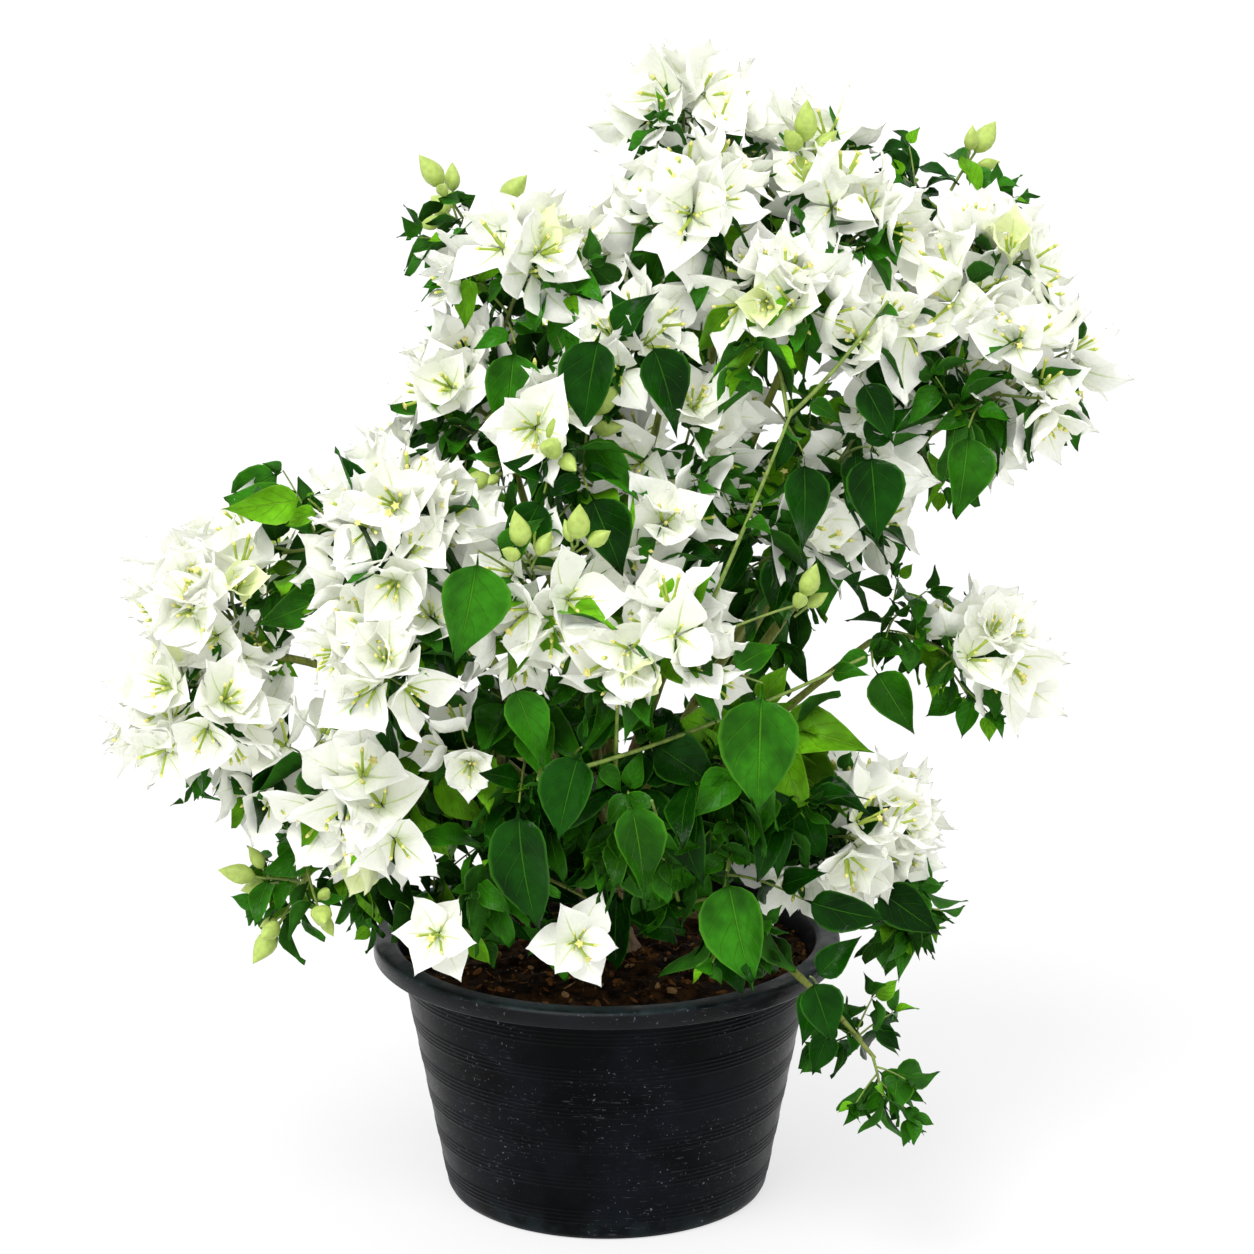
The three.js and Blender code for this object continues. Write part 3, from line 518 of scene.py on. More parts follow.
class Plant:
    """Everything that the growth rule places, in millimetres. The lobe and the random numbers that
    are in hand stand in lobe and draw."""

    def __init__(self, leaf_length, bract_length):
        self.leaf_length = leaf_length
        self.bract_length = bract_length
        self.limbs = {}
        self.twigs, self.leaves, self.bracts, self.tubes, self.buds, self.wood = ([] for _ in range(6))
        self.grow_limbs()
        for index, one in enumerate(MASSES):
            self.leaf_scale = one.leaf_size
            self.grow_mass(one, 10 * index + 1)
        for index, one in enumerate(LARGE_LEAVES):
            self.grow_large_leaf(one, index % 4)
        for index, one in enumerate(OPEN_FLOWERS):
            self.draw = Draw(OPEN_FLOWER_SEED + index)
            self.grow_open_flower(one)
        for index, one in enumerate(BUD_SPRAYS):
            self.draw = Draw(BUD_SPRAY_SEED + index)
            self.reach_for(one.seat, (1.0, 0.8))
            self.add_buds(one.seat, one.heading.normalized(), 2.1 * index, one.size)
        for one in FRONT_SHOOTS:
            self.grow_front_shoot(one)

    def grow_limbs(self):
        foot = Vector(TRUNK_FOOT)
        fork = Vector(TRUNK_FORK)
        upright = Vector((foot.x, foot.y, mix(foot.z, fork.z, 0.5)))
        self.limbs["trunk"] = Limb((foot, upright, fork), TRUNK_WAIST_RADIUS, TRUNK_FORK_RADIUS, 1, 0.85)
        for cane in CANES:
            parent = self.limbs[cane.parent]
            curve = arched_curve(point_on(parent.curve, cane.at), Vector(cane.tip), cane.arch)
            base_age = mix(parent.base_age, parent.tip_age, cane.at)
            tip_age = 0.3 if cane.name == "trailing_cane" else 0.05
            self.limbs[cane.name] = Limb(curve, cane.base_radius, cane.tip_radius, base_age, tip_age)
            self.wood += [point_on(curve, k / 12) for k in range(2, 13)]

    def grow_mass(self, one, seed):
        carrier = self.limbs[one.carrier]
        stems = []
        for i, lobe in enumerate(one.lobes):
            start, arch, radii = carrier.curve[2], 0, (carrier.tip_radius, 1.3)
            if i:
                nearest = min(range(i), key=lambda k: (one.lobes[k].middle - lobe.middle).length)
                start, arch, radii = point_on(stems[nearest], STEM_FORK_AT), STEM_FORK_ARCH, (1.6, 1.1)
            stem = arched_curve(start, lobe.middle, arch)
            stems.append(stem)
            self.add_path(stem, radii, 0.12)
            self.wood += [point_on(stem, k / 6) for k in range(1, 7)]
            self.grow_lobe(lobe, stem, seed + i)

    def grow_lobe(self, lobe, stem, seed):
        """Twigs start evenly along the stem and point evenly all round. Those that point most out
        of the bush flower, the next end in buds, and the rest carry leaves."""
        self.lobe = lobe
        draw = Draw(seed)
        out = outward_of(lobe)
        count = lobe.blooms + lobe.buds + math.ceil(lobe.leaves / LEAVES_PER_TWIG)
        directions = sorted(spread_directions(count, draw), key=lambda d: -d.dot(out))
        for i, direction in enumerate(directions):
            heading = (direction + out * TWIG_OUTWARD).normalized()
            reach = lobe.radius * draw(TWIG_SHORTEST, TWIG_LONGEST)
            start = point_on(stem, mix(TWIG_LAST_AT, TWIG_FIRST_AT, i / count))
            end = lobe.middle + heading * reach
            twig = Twig(start, end, heading, out, draw() * TURN, draw(SMALLEST_SIZE, LARGEST_SIZE))
            self.draw = Draw(1000 * seed + i)
            if not clear_of_pot(end):
                continue
            if i < lobe.blooms:
                self.dress_flowering(twig, i % PAIR_EVERY == 1)
            elif i < lobe.blooms + lobe.buds:
                self.dress_budding(twig)
            else:
                self.dress_leafy(twig)

    def grow_large_leaf(self, one, shape):
        """A single grown leaf on a shoot from the nearest wood."""
        root = one.root
        line = self.reach_for(root, (1.1, 0.6))
        facing = Vector((0.45 * math.sin(root.x), -1, 0.3 + 0.45 * math.cos(root.z)))
        self.leaves.append(Place(root, one.hang.normalized(), facing, one.size, shape, one.tint))
        for k, at in enumerate((0.45, 0.7)):
            self.add_small_leaf(line, at, shape + 1.5 + 2.6 * k, one.tint)

    def grow_open_flower(self, one):
        """Two whorls of bracts, laid wide open round a pale star, on a shoot from the nearest wood."""
        seat = one.seat
        axis = one.facing.normalized()
        self.reach_for(seat, (1.0, 0.8))
        for layer, (opening, part) in enumerate(((1.3, 1), (1.02, 0.88))):
            self.open_bracts(seat + axis * 3 * layer, axis, layer * TURN / 6, opening, one.size * part, WHITE)
        self.tubes.append(Place(seat, axis, sideways(axis, 0), 1.1, 1, 0))

    def grow_front_shoot(self, one):
        """A longer stem from the nearest wood, with small leaves round it."""
        self.reach_for(one.start, (1.5, 1.4))
        line = arched_curve(one.start, one.end, one.arch)
        self.add_path(line, (1.5, 1.0), 0.02, steps=10)
        for k, at in enumerate((0.2, 0.55, 0.9)):
            self.add_small_leaf(line, at, 1 + 2.4 * k, MIDDLE)

    def reach_for(self, point, radii):
        """A shoot from the nearest wood to a point."""
        start = min(self.wood, key=lambda spot: (spot - point).length)
        line = arched_curve(start, point, 6)
        self.add_path(line, radii, 0.05)
        return line

    def add_small_leaf(self, line, at, angle, tint):
        root = point_on(line, at)
        heading = (line[2] - line[0]).normalized()
        along = (sideways(heading, angle) + heading * 0.5 + Vector((0, 0, -0.3))).normalized()
        size = 0.5 + 0.12 * math.sin(5 * angle)
        if clear_along(root, root + along * self.leaf_length * size, (0.3, 0.7, 1)):
            self.leaves.append(Place(root, along, Vector((0, -1, 0.7)), size, 1, tint))

    def add_path(self, curve, radii, age, steps=6):
        points = [point_on(curve, k / steps) for k in range(steps + 1)]
        self.twigs.append(Path(points, *radii, age))

    def bend_twig(self, twig, tip_radius):
        """The twig's own line: it bows a little to one side and upwards."""
        span = twig.end - twig.start
        control = twig.start.lerp(twig.end, 0.5)
        control += sideways(twig.heading, twig.turn) * self.draw(-0.1, 0.1) * span.length
        control.z += span.length * 0.07
        line = twig.start, control, twig.end
        self.add_path(line, (1.1, tip_radius), 0.05)
        return line

    def fits(self, root, along, extent):
        """Whether a blade keeps to its lobe's reach, out of the pot and off the open flowers."""
        tip = root + along * extent
        for flower in OPEN_FLOWERS:
            if any((root.lerp(tip, at) - flower.seat).length < FLOWER_ROOM for at in (0, 0.35, 0.7, 1)):
                return False
        if (tip - self.lobe.middle).length > self.lobe.radius * REACH + STRAY:
            return False
        return clear_along(root, tip, (0.15, 0.5, 0.8, 1))

    def dress_flowering(self, twig, paired):
        draw = self.draw
        line = self.bend_twig(twig, 0.75)
        stray = sideways(twig.heading, draw() * TURN) * draw(0.2, 0.8)
        facing = (twig.heading + twig.out * 0.6 + stray).normalized()
        flowers = 4 if draw() > 0.75 else 3
        self.add_cluster(point_on(line, CLUSTER_AT), facing, twig.turn, flowers, twig.size)
        if paired:
            beside = (sideways(twig.heading, twig.turn) + twig.out * 0.5).normalized()
            self.add_cluster(point_on(line, 0.45), beside, twig.turn, 2, twig.size)
        tint = FRESH if draw() > 0.8 else DEEP if draw() > 0.6 else MIDDLE
        places = (0.28, 0.5, 0.74, 0.96) if self.lobe.middle.z > HIGH_CROWN else (0.28, 0.5, 0.74)
        self.add_leaves(twig, line, places, (0.55, 0.9), (1.2, 2.3), tint)

    def add_cluster(self, base, facing, turn, flowers, size):
        """A few flowers on short stalks that fan out of one point."""
        draw = self.draw
        openness = draw(*CLUSTER_OPENNESS)
        young = draw() > 0.9
        for k in range(flowers):
            spread = draw(0.45, 1.05)
            side = sideways(facing, turn + k * TURN / flowers + draw(-0.3, 0.3))
            axis = lean(facing, side, spread).normalized()
            seat = base + axis * draw(*STALK_LENGTHS) + side * 4
            self.twigs.append(Path([base, base.lerp(seat, 0.5) + facing * 1.5, seat], 0.7, 0.6, 0))
            flower_size = size * draw(*FLOWER_SIZES)
            opening = openness * draw(0.86, 1.12)
            if young and k == 0:
                self.add_flower(seat, axis, turn + k, 0.3, flower_size * 0.8, CREAM)
                continue
            self.add_flower(seat, axis, turn + k, opening, flower_size, WHITE)
            if draw() > 0.76:
                inner = turn + k + TURN / 6
                self.add_flower(seat + axis * 4, axis, inner, opening * 0.7, flower_size * 0.9, WHITE)

    def add_flower(self, seat, axis, roll, opening, size, tint):
        """A flower stands on its seat. One that would stand in the pot looks up instead."""
        for lift in (0, 0.4, 0.9):
            raised = (axis + Vector((0, 0, lift))).normalized()
            base = seat + Vector((0, 0, 12 * lift))
            if self.fits(base, raised, self.bract_length * size * 0.7):
                self.open_bracts(base, raised, roll, opening, size, tint)
                return

    def open_bracts(self, seat, axis, roll, opening, size, tint):
        """Three bracts round the axis, each with a slender tube in front of it."""
        draw = self.draw
        for k in range(3):
            side = sideways(axis, roll + k * TURN / 3 + draw(-0.18, 0.18))
            tilt = opening * draw(0.84, 1.18)
            facing = lean(-side, axis, tilt) + side.cross(axis) * draw(-0.25, 0.25)
            shape = int(draw() * 3.999)
            self.bracts.append(Place(seat + side * 0.8, lean(axis, side, tilt), facing,
                                     size * draw(0.88, 1.1), shape, tint))
            tube_along = lean(axis, side, tilt * draw(0.25, 0.55))
            tube_shape = int(draw() > 0.8 and opening > 0.6)
            self.tubes.append(Place(seat + side * 1.3, tube_along, side,
                                    size * draw(0.8, 1.1), tube_shape, 0))

    def dress_budding(self, twig):
        line = self.bend_twig(twig, 0.8)
        self.add_buds(twig.end, twig.heading, twig.turn, twig.size)
        self.add_leaves(twig, line, (0.4, 0.62, 0.84), (0.6, 0.95), (1, 3), MIDDLE)

    def add_buds(self, end, heading, turn, size):
        """A grown bud straight ahead and two small ones beside it."""
        for k in range(3):
            side = sideways(heading, turn + k * 2.4)
            axis = lean(heading, side, 0.75 if k else 0.1).normalized()
            seat = end + axis * (9 if k else 6) - heading * (4 * k)
            grown = size * (self.draw(0.45, 0.68) if k else 0.84)
            self.twigs.append(Path([end - heading * (5 * k), seat], 0.8, 0.9, 0))
            self.buds.append(Place(seat, axis, side, grown, 0, 0))

    def dress_leafy(self, twig):
        """Leaves stand round the twig one after another, and on finer shoots beside it."""
        lobe = self.lobe
        line = self.bend_twig(twig, 0.7)
        chance = self.draw()
        fresh_from, middle_from = (0.76, 0.24) if lobe.middle.z > HIGH_CROWN else (0.70, 0.10)
        # Low leaves inside the crown are mostly deep green: partly older leaves, partly painted shade where
        # the bush shades them
        if twig.end.z < LOW_CROWN and math.hypot(twig.end.x, twig.end.y) < PAINTED_SHADE_RADIUS:
            fresh_from, middle_from = 1, 0.75
        tint = FRESH if chance > fresh_from else MIDDLE if chance > middle_from else DEEP
        self.add_leaves(twig, line, (0.96, 0.76, 0.56, 0.36), (0.8, 1.12), (0, 2.4), tint)
        dense = lobe.middle.z < LOW_CROWN or self.leaf_scale < 0.7
        shoots = 4 if dense and lobe.leaves > LEAVES_PER_TWIG else 2
        for k in range(shoots):
            base = point_on(line, mix(0.3, 0.85, k / (shoots - 1)))
            self.add_shoot(twig, base, twig.turn + 1.6 + k * 2.6, tint)
        self.add_tip(twig.end, twig.heading, twig.turn)

    def add_shoot(self, twig, base, angle, tint):
        """A finer shoot with three leaves and a tuft of young ones."""
        heading = (sideways(twig.heading, angle) + twig.heading * 0.7 + twig.out * 0.4).normalized()
        end = base + heading * self.draw(*SHOOT_LENGTHS)
        if not self.fits(base, heading, (end - base).length):
            return
        line = arched_curve(base, end, 2)
        self.add_path(line, (0.7, 0.5), 0, steps=3)
        shoot = Twig(base, end, heading, twig.out, angle, twig.size)
        self.add_leaves(shoot, line, (0.5, 0.74, 0.98), (0.55, 0.92), (0, 2.3), tint)
        self.add_tip(end, heading, angle)

    def add_tip(self, end, heading, turn):
        """Three tiny young leaves at a growing tip."""
        for k in range(3):
            side = sideways(heading, turn + k * 2.2)
            along = (heading + side * 0.8).normalized()
            size = self.draw(0.2, 0.36)
            if self.fits(end, along, self.leaf_length * size):
                self.leaves.append(Place(end, along, side.cross(along), size, k, MIDDLE if k else FRESH))

    def add_leaves(self, twig, line, places, sizes, turns, tint):
        """Leaves along a twig. The first is turned from the twig by the first of the turns, and each
        of the others from the one before by the second."""
        for k, at in enumerate(places):
            size = twig.size * self.draw(*sizes)
            self.add_leaf(twig, point_on(line, at), twig.turn + turns[0] + k * turns[1], size, tint)

    def add_leaf(self, twig, root, angle, size, tint):
        """A leaf stands out of its twig, sags, and shows its face to the light."""
        draw = self.draw
        along = twig.heading * 0.45 + sideways(twig.heading, angle)
        along.z -= draw(0.5, 1.3) if self.lobe.middle.z < LOW_CROWN else draw(0.2, 0.8)
        along.normalize()
        facing = twig.out.copy()
        facing.z += draw(0.1, 0.9)
        facing += sideways(along, angle) * draw(0.3, 1.2)
        shape = int(draw() * 3.999)
        for shrink in (1, 0.85, 0.7):
            grown = size * shrink * self.leaf_scale
            if self.fits(root, along, self.leaf_length * grown * 1.1):
                self.leaves.append(Place(root, along, facing, grown, shape, tint))
                return


@functools.lru_cache(maxsize=1)
def grown_plant(leaf_length, bract_length):
    return Plant(leaf_length, bract_length)


def plant_of(context):
    scene = context.scene
    return grown_plant(scene.leaf.blade_length / MM, scene.blossom.bract_length / MM)


# Making meshes

def mesh_object(name, vertices, faces=(), edges=()):
    mesh = bpy.data.meshes.new(name)
    mesh.from_pydata([tuple(vertex) for vertex in vertices], edges, faces)
    mesh.validate()
    mesh.shade_smooth()
    return bpy.data.objects.new(name, mesh)


def link(thing):
    bpy.context.scene.collection.objects.link(thing)
    return thing


def mark(thing, name, kind, values, domain="POINT"):
    """Gives a mesh an attribute with a value for each point or face."""
    attributes = thing.data.attributes
    layer = attributes.get(name) or attributes.new(name, kind, domain)
    layer.data.foreach_set("value", values)


def settle(piece, slot, *nodes):
    """Rides a finished piece on its body and hides the CAD parts it stands for. The slot, what it is made of,
    is not used.
    """
    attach(piece, BODY)
    if nodes:
        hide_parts(*nodes)


def closed_faces(rings, sides):
    """The faces of a closed form: its vertices are a pole, rings one by one, and the other pole."""
    last = 1 + rings * sides
    faces = []
    for k in range(sides):
        after = (k + 1) % sides
        faces.append((0, 1 + after, 1 + k))
        for low in range(1, last - sides, sides):
            faces.append((low + k, low + after, low + sides + after, low + sides + k))
        faces.append((last - sides + k, last - sides + after, last))
    return faces


def lathe(profile, sides, wobble=None, ridge=0.0):
    """A closed form turned round the Z axis, in metres. The profile runs from axis to axis, facing
    out, and a ridge makes the form three-cornered."""
    vertices = []
    for radius, height in profile:
        for k in range(sides if radius else 1):
            angle = TURN * k / sides
            point = polar(radius * (1 + ridge * math.cos(3 * angle)), angle, height)
            vertices.append(wobble(point) if wobble and radius else point)
    return [vertex * MM for vertex in vertices], closed_faces(len(profile) - 2, sides)


def tube(points, radii, sides, relief):
    """A closed tube along points, in metres. Its frame turns as little as it can."""
    last = len(points) - 1
    tangents = [(points[min(i + 1, last)] - points[max(i - 1, 0)]).normalized() for i in range(last + 1)]
    side = sideways(tangents[0], 0)
    vertices = [points[0] - tangents[0] * radii[0] * 0.4]
    for i, (point, radius, tangent) in enumerate(zip(points, radii, tangents)):
        side = (side - tangent * side.dot(tangent)).normalized()
        across = tangent.cross(side)
        for k in range(sides):
            angle = TURN * k / sides
            vertices.append(point + lean(side, across, angle) * (radius + relief(i, angle)))
    vertices.append(points[-1] + tangents[-1] * radii[-1] * 0.4)
    return [vertex * MM for vertex in vertices], closed_faces(last + 1, sides)


def blade_template(name, rows, long, wide, thick, bend):
    """A thin closed blade along +Y that faces +Z. Each row is (along, half width) as shares of the
    blade's own size, and bend gives the height of its middle surface. Both faces are cut along the
    same diagonals, so that they never cross."""
    across = (-1, -0.5, 0, 0.5, 1)
    ring = [(u, 1) for u in across] + [(u, -1) for u in reversed(across[1:-1])]
    count = len(ring)
    last = 1 + len(rows) * count
    vertices = [Vector((0, 0, bend(0, 0)))]
    marks = [(0.5, 0)]
    for along, half in rows:
        for u, up in ring:
            lift = up * thick / 2 * (1 - u * u) * min(1, half * 3)
            vertices.append(Vector((u * half * wide / 2, along * long, bend(u, along) + lift)))
            marks.append(((u + 1) / 2, along))
    vertices.append(Vector((0, long, bend(0, 1))))
    marks.append((0.5, 1))
    faces = []
    under = []
    for low in range(1 - count, last, count):
        high = low + count
        for k in range(count):
            after = (k + 1) % count
            below = k >= len(across) - 1
            if low < 1:
                made = [(0, high + after, high + k)]
            elif high == last:
                made = [(low + k, low + after, last)]
            elif below:
                made = [(low + k, low + after, high + k), (low + after, high + after, high + k)]
            else:
                made = [(low + k, low + after, high + after), (low + k, high + after, high + k)]
            faces += made
            under += [int(below)] * len(made)
    thing = mesh_object(name, vertices, faces)
    mark(thing, "under", "INT", under, "FACE")
    uv = thing.data.uv_layers.new(name="blade")
    for loop in thing.data.loops:
        uv.data[loop.index].uv = marks[loop.vertex_index]
    for edge in thing.data.edges:
        low, high = sorted(edge.vertices)
        on_rim = (low - 1) % count in (0, len(across) - 1)
        edge.use_edge_sharp = on_rim and high - low == count and high < last
    return thing


def blade_templates(name, rows, size, taper, ripple, forms):
    """A blade for each form. Its middle surface is bent by shares of the blade's own size."""
    long, wide, thick = size
    templates = []
    for number, form in enumerate(forms):
        broad = wide * form.slim

        def bend(u, along):
            half = math.sin(math.pi * min(1, along * taper)) * broad / 2
            height = form.fold * abs(u) * half + form.cup * u * u * half
            height -= form.curl * long * along ** 2
            height -= form.bow * long * math.sin(math.pi * along)
            height -= form.tip * long * max(0, along - TIP_TURNS_AT) ** 1.5 * 2
            height += form.twist * long * u * along
            height += form.wave * long * abs(u) * math.sin(ripple[0] * along + ripple[1] * u)
            return height

        templates.append(blade_template(f"{name}_{number}", rows, long, broad, thick, bend))
    return templates


def spindle_template(name, profile, sides, ridge=0.0):
    """A closed round form along +Y. The profile is (radius, along)."""
    vertices, faces = lathe(profile, sides, ridge=ridge)
    thing = mesh_object(name, [vertex.yzx for vertex in vertices], faces)
    mark(thing, "under", "INT", [0] * len(faces), "FACE")
    return thing


# Geometry Nodes

def feed(node, key, value):
    """Gives an input a plain value, or a link from a socket."""
    if isinstance(value, bpy.types.NodeSocket):
        node.id_data.links.new(value, node.inputs[key])
    else:
        node.inputs[key].default_value = value


def add_node(tree, kind, inputs=None, output=0, **settings):
    """Adds a node, feeds its inputs and returns one of its outputs."""
    node = tree.nodes.new(kind)
    for key, value in settings.items():
        setattr(node, key, value)
    for key, value in (inputs or {}).items():
        feed(node, key, value)
    return node.outputs[output] if node.outputs else None


def named_attribute(tree, name, kind):
    return add_node(tree, "GeometryNodeInputNamedAttribute", {"Name": name}, "Attribute", data_type=kind)


def random_value(tree, kind, low, high, seed):
    """A random value for each point. The node has a pair of sockets for each kind."""
    at = ("FLOAT_VECTOR", "FLOAT", "INT").index(kind)
    inputs = {2 * at: low, 2 * at + 1: high, 8: seed}
    return add_node(tree, "FunctionNodeRandomValue", inputs, at, data_type=kind)


def set_material(tree, geometry, material, attribute=None, number=0):
    """Sets a material everywhere, or where an attribute has a number."""
    inputs = {"Geometry": geometry, "Material": material}
    if attribute:
        inputs["Selection"] = add_node(tree, "FunctionNodeCompare", data_type="INT", operation="EQUAL",
                                       inputs={2: named_attribute(tree, attribute, "INT"), 3: number})
    return add_node(tree, "GeometryNodeSetMaterial", inputs)


def new_tree(name, **inputs):
    """A node tree with a geometry in and out, and further inputs by name and kind."""
    tree = bpy.data.node_groups.new(name, "GeometryNodeTree")
    tree.interface.new_socket(name="Geometry", in_out="OUTPUT", socket_type="NodeSocketGeometry")
    for label, kind in {"Geometry": "Geometry", **inputs}.items():
        tree.interface.new_socket(name=label, in_out="INPUT", socket_type="NodeSocket" + kind)
    return tree, tree.nodes.new("NodeGroupInput").outputs


def put_templates(tree, given, materials, inputs):
    """Puts a template on each point, makes it real, and sets its material by the point's tint."""
    templates = add_node(tree, "GeometryNodeCollectionInfo", {
        "Collection": given["Templates"], "Separate Children": True, "Reset Children": True})
    placed = add_node(tree, "GeometryNodeInstanceOnPoints", {
        "Instance": templates, "Pick Instance": True, **inputs})
    geometry = add_node(tree, "GeometryNodeRealizeInstances", {"Geometry": placed})
    for number, material in enumerate(materials):
        geometry = set_material(tree, geometry, material, "tint" if number else None, number)
    return geometry


def blades_tree(materials, under_material):
    """Puts the template of each place on it."""
    tree, given = new_tree("blades", Templates="Collection")
    geometry = put_templates(tree, given, materials, {
        "Points": given["Geometry"], "Instance Index": named_attribute(tree, "shape", "INT"),
        "Rotation": named_attribute(tree, "turn", "QUATERNION"),
        "Scale": named_attribute(tree, "size", "FLOAT")})
    if under_material:
        geometry = set_material(tree, geometry, under_material, "under", 1)
    add_node(tree, "NodeGroupOutput", {"Geometry": geometry})
    return tree


def twigs_tree(material):
    """Turns lines into round twigs as thick as their own thickness attribute."""
    tree, given = new_tree("twigs", Sides="Int")
    curves = add_node(tree, "GeometryNodeMeshToCurve", {"Mesh": given["Geometry"]})
    circle = add_node(tree, "GeometryNodeCurvePrimitiveCircle", {"Radius": 1, "Resolution": given["Sides"]})
    swept = add_node(tree, "GeometryNodeCurveToMesh", {
        "Curve": curves, "Profile Curve": circle, "Fill Caps": True,
        "Scale": named_attribute(tree, "thickness", "FLOAT")})
    smooth = add_node(tree, "GeometryNodeSetShadeSmooth", {"Geometry": swept})
    add_node(tree, "NodeGroupOutput", {"Geometry": set_material(tree, smooth, material)})
    return tree


def chips_tree(materials):
    """Strews turned and scaled chips over a surface, from fixed seeds."""
    tree, given = new_tree("chips", Templates="Collection", Density="Float", Seed="Int")
    points = add_node(tree, "GeometryNodeDistributePointsOnFaces", {
        "Mesh": given["Geometry"], "Density": given["Density"], "Seed": given["Seed"]})
    tinted = add_node(tree, "GeometryNodeStoreNamedAttribute", data_type="INT", domain="POINT", inputs={
        "Geometry": points, "Name": "tint", "Value": random_value(tree, "INT", 0, len(materials) - 1, 5)})
    scale = random_value(tree, "FLOAT", 0.22, 1, 7)
    geometry = put_templates(tree, given, materials, {
        "Points": tinted, "Rotation": random_value(tree, "FLOAT_VECTOR", (0, 0, 0), (TURN, TURN, TURN), 3),
        "Scale": add_node(tree, "ShaderNodeMath", {0: scale, 1: 2}, operation="POWER")})
    add_node(tree, "NodeGroupOutput", {"Geometry": geometry})
    return tree


def run_tree(thing, tree, templates=(), **values):
    """Runs a tree on an object and keeps the result as its plain mesh. It uses the templates up."""
    collection = bpy.data.collections.new("templates")
    for template in templates:
        collection.objects.link(template)
    values["Templates"] = collection
    modifier = thing.modifiers.new("growth", "NODES")
    modifier.node_group = tree
    for item in tree.interface.items_tree:
        if item.in_out == "INPUT" and item.name in values:
            modifier[item.identifier] = values[item.name]
    bpy.context.view_layer.update()
    ready = thing.evaluated_get(bpy.context.evaluated_depsgraph_get())
    mesh = bpy.data.meshes.new_from_object(ready)
    thing.modifiers.remove(modifier)
    thing.data = mesh
    if not mesh.polygons:
        raise RuntimeError(thing.name + " came out empty")
    for template in templates:
        bpy.data.objects.remove(template)
    bpy.data.collections.remove(collection)


def in_parts(places, *names):
    """Deals the places from left to right into equal parts, each under the size limit of a piece."""
    ordered = sorted(places, key=lambda place: place.root.x)
    part = math.ceil(len(ordered) / len(names))
    return {name: ordered[k * part:(k + 1) * part] for k, name in enumerate(names)}


def turn_of(place):
    """The turn that brings +Y along the blade and +Z to its face."""
    across = place.along.cross(place.facing).normalized()
    normal = across.cross(place.along).normalized()
    return Matrix((across, place.along, normal)).transposed().to_quaternion()


def build_blades(name, slot, places, templates, materials, under_material=None):
    """One piece made of a template on every place."""
    thing = link(mesh_object(name, [place.root * MM for place in places]))
    mark(thing, "turn", "QUATERNION", [part for place in places for part in turn_of(place)])
    for key, kind in (("size", "FLOAT"), ("shape", "INT"), ("tint", "INT")):
        mark(thing, key, kind, [getattr(place, key) for place in places])
    run_tree(thing, blades_tree(materials, under_material), templates)
    settle(thing, slot)


# Materials

def darker(tone, factor):
    return tuple(channel * factor for channel in tone)


class Look:
    """A material, put together from small steps on object coordinates."""

    def __init__(self, name, base, roughness, specular):
        self.base = tuple(base)
        self.material = bpy.data.materials.new(name)
        self.material.use_nodes = True
        self.tree = self.material.node_tree
        self.shader = self.tree.nodes["Principled BSDF"]
        self.set("Base Color", (*self.base, 1))
        self.set("Roughness", roughness)
        self.set("Specular IOR Level", specular)

    def set(self, key, value):
        feed(self.shader, key, value)

    def node(self, *about, **settings):
        return add_node(self.tree, *about, **settings)

    def noise(self, scale, detail, stretch=(1, 1, 1), rough=0.55):
        """Noise, stretched along an axis where asked."""
        place = self.node("ShaderNodeTexCoord", None, "Object")
        spot = self.node("ShaderNodeMapping", {"Vector": place, "Scale": stretch})
        inputs = {"Vector": spot, "Scale": scale, "Detail": detail, "Roughness": rough}
        return self.node("ShaderNodeTexNoise", inputs, "Fac")

    def ramp(self, value, low, high, out_low=0.0, out_high=1.0):
        inputs = {"Value": value, "From Min": low, "From Max": high, "To Min": out_low, "To Max": out_high}
        return self.node("ShaderNodeMapRange", inputs, "Result", interpolation_type="SMOOTHSTEP")

    def mottle(self, scale, detail, *levels, **noise_looks):
        """Noise drawn out between two levels."""
        return self.ramp(self.noise(scale, detail, **noise_looks), *levels)

    def calculate(self, operation, *values):
        return self.node("ShaderNodeMath", dict(enumerate(values)), operation=operation)

    def times(self, first, second):
        return self.calculate("MULTIPLY", first, second)

    def most(self, first, second):
        return self.calculate("MAXIMUM", first, second)

    def blend(self, factor, *tones):
        """Mixes two colours, each a tuple or a socket."""
        first, second = ((*tone, 1) if isinstance(tone, tuple) else tone for tone in tones)
        return self.node("ShaderNodeMix", {0: factor, 6: first, 7: second}, 2, data_type="RGBA")

    def bump(self, height, strength, distance):
        inputs = {"Height": height, "Strength": strength, "Distance": distance}
        self.set("Normal", self.node("ShaderNodeBump", inputs))

    def veins(self, pairs, slant, rib, vein):
        """Masks of a midrib and of slanting side veins, and the places across and along the blade."""
        uv = self.node("ShaderNodeUVMap", uv_map="blade")
        centred = self.calculate("SUBTRACT", self.node("ShaderNodeSeparateXYZ", {0: uv}, "X"), 0.5)
        away = self.times(self.calculate("ABSOLUTE", centred), 2)
        along = self.node("ShaderNodeSeparateXYZ", {0: uv}, "Y")
        midrib = self.ramp(away, rib, rib * 0.35)
        order = self.calculate("SUBTRACT", self.times(along, pairs), self.times(away, slant))
        side = self.ramp(self.calculate("PINGPONG", order, 0.5), vein, vein * 0.3)
        return midrib, self.times(side, self.ramp(away, 0.95, 0.5, 0, 0.6)), away, along


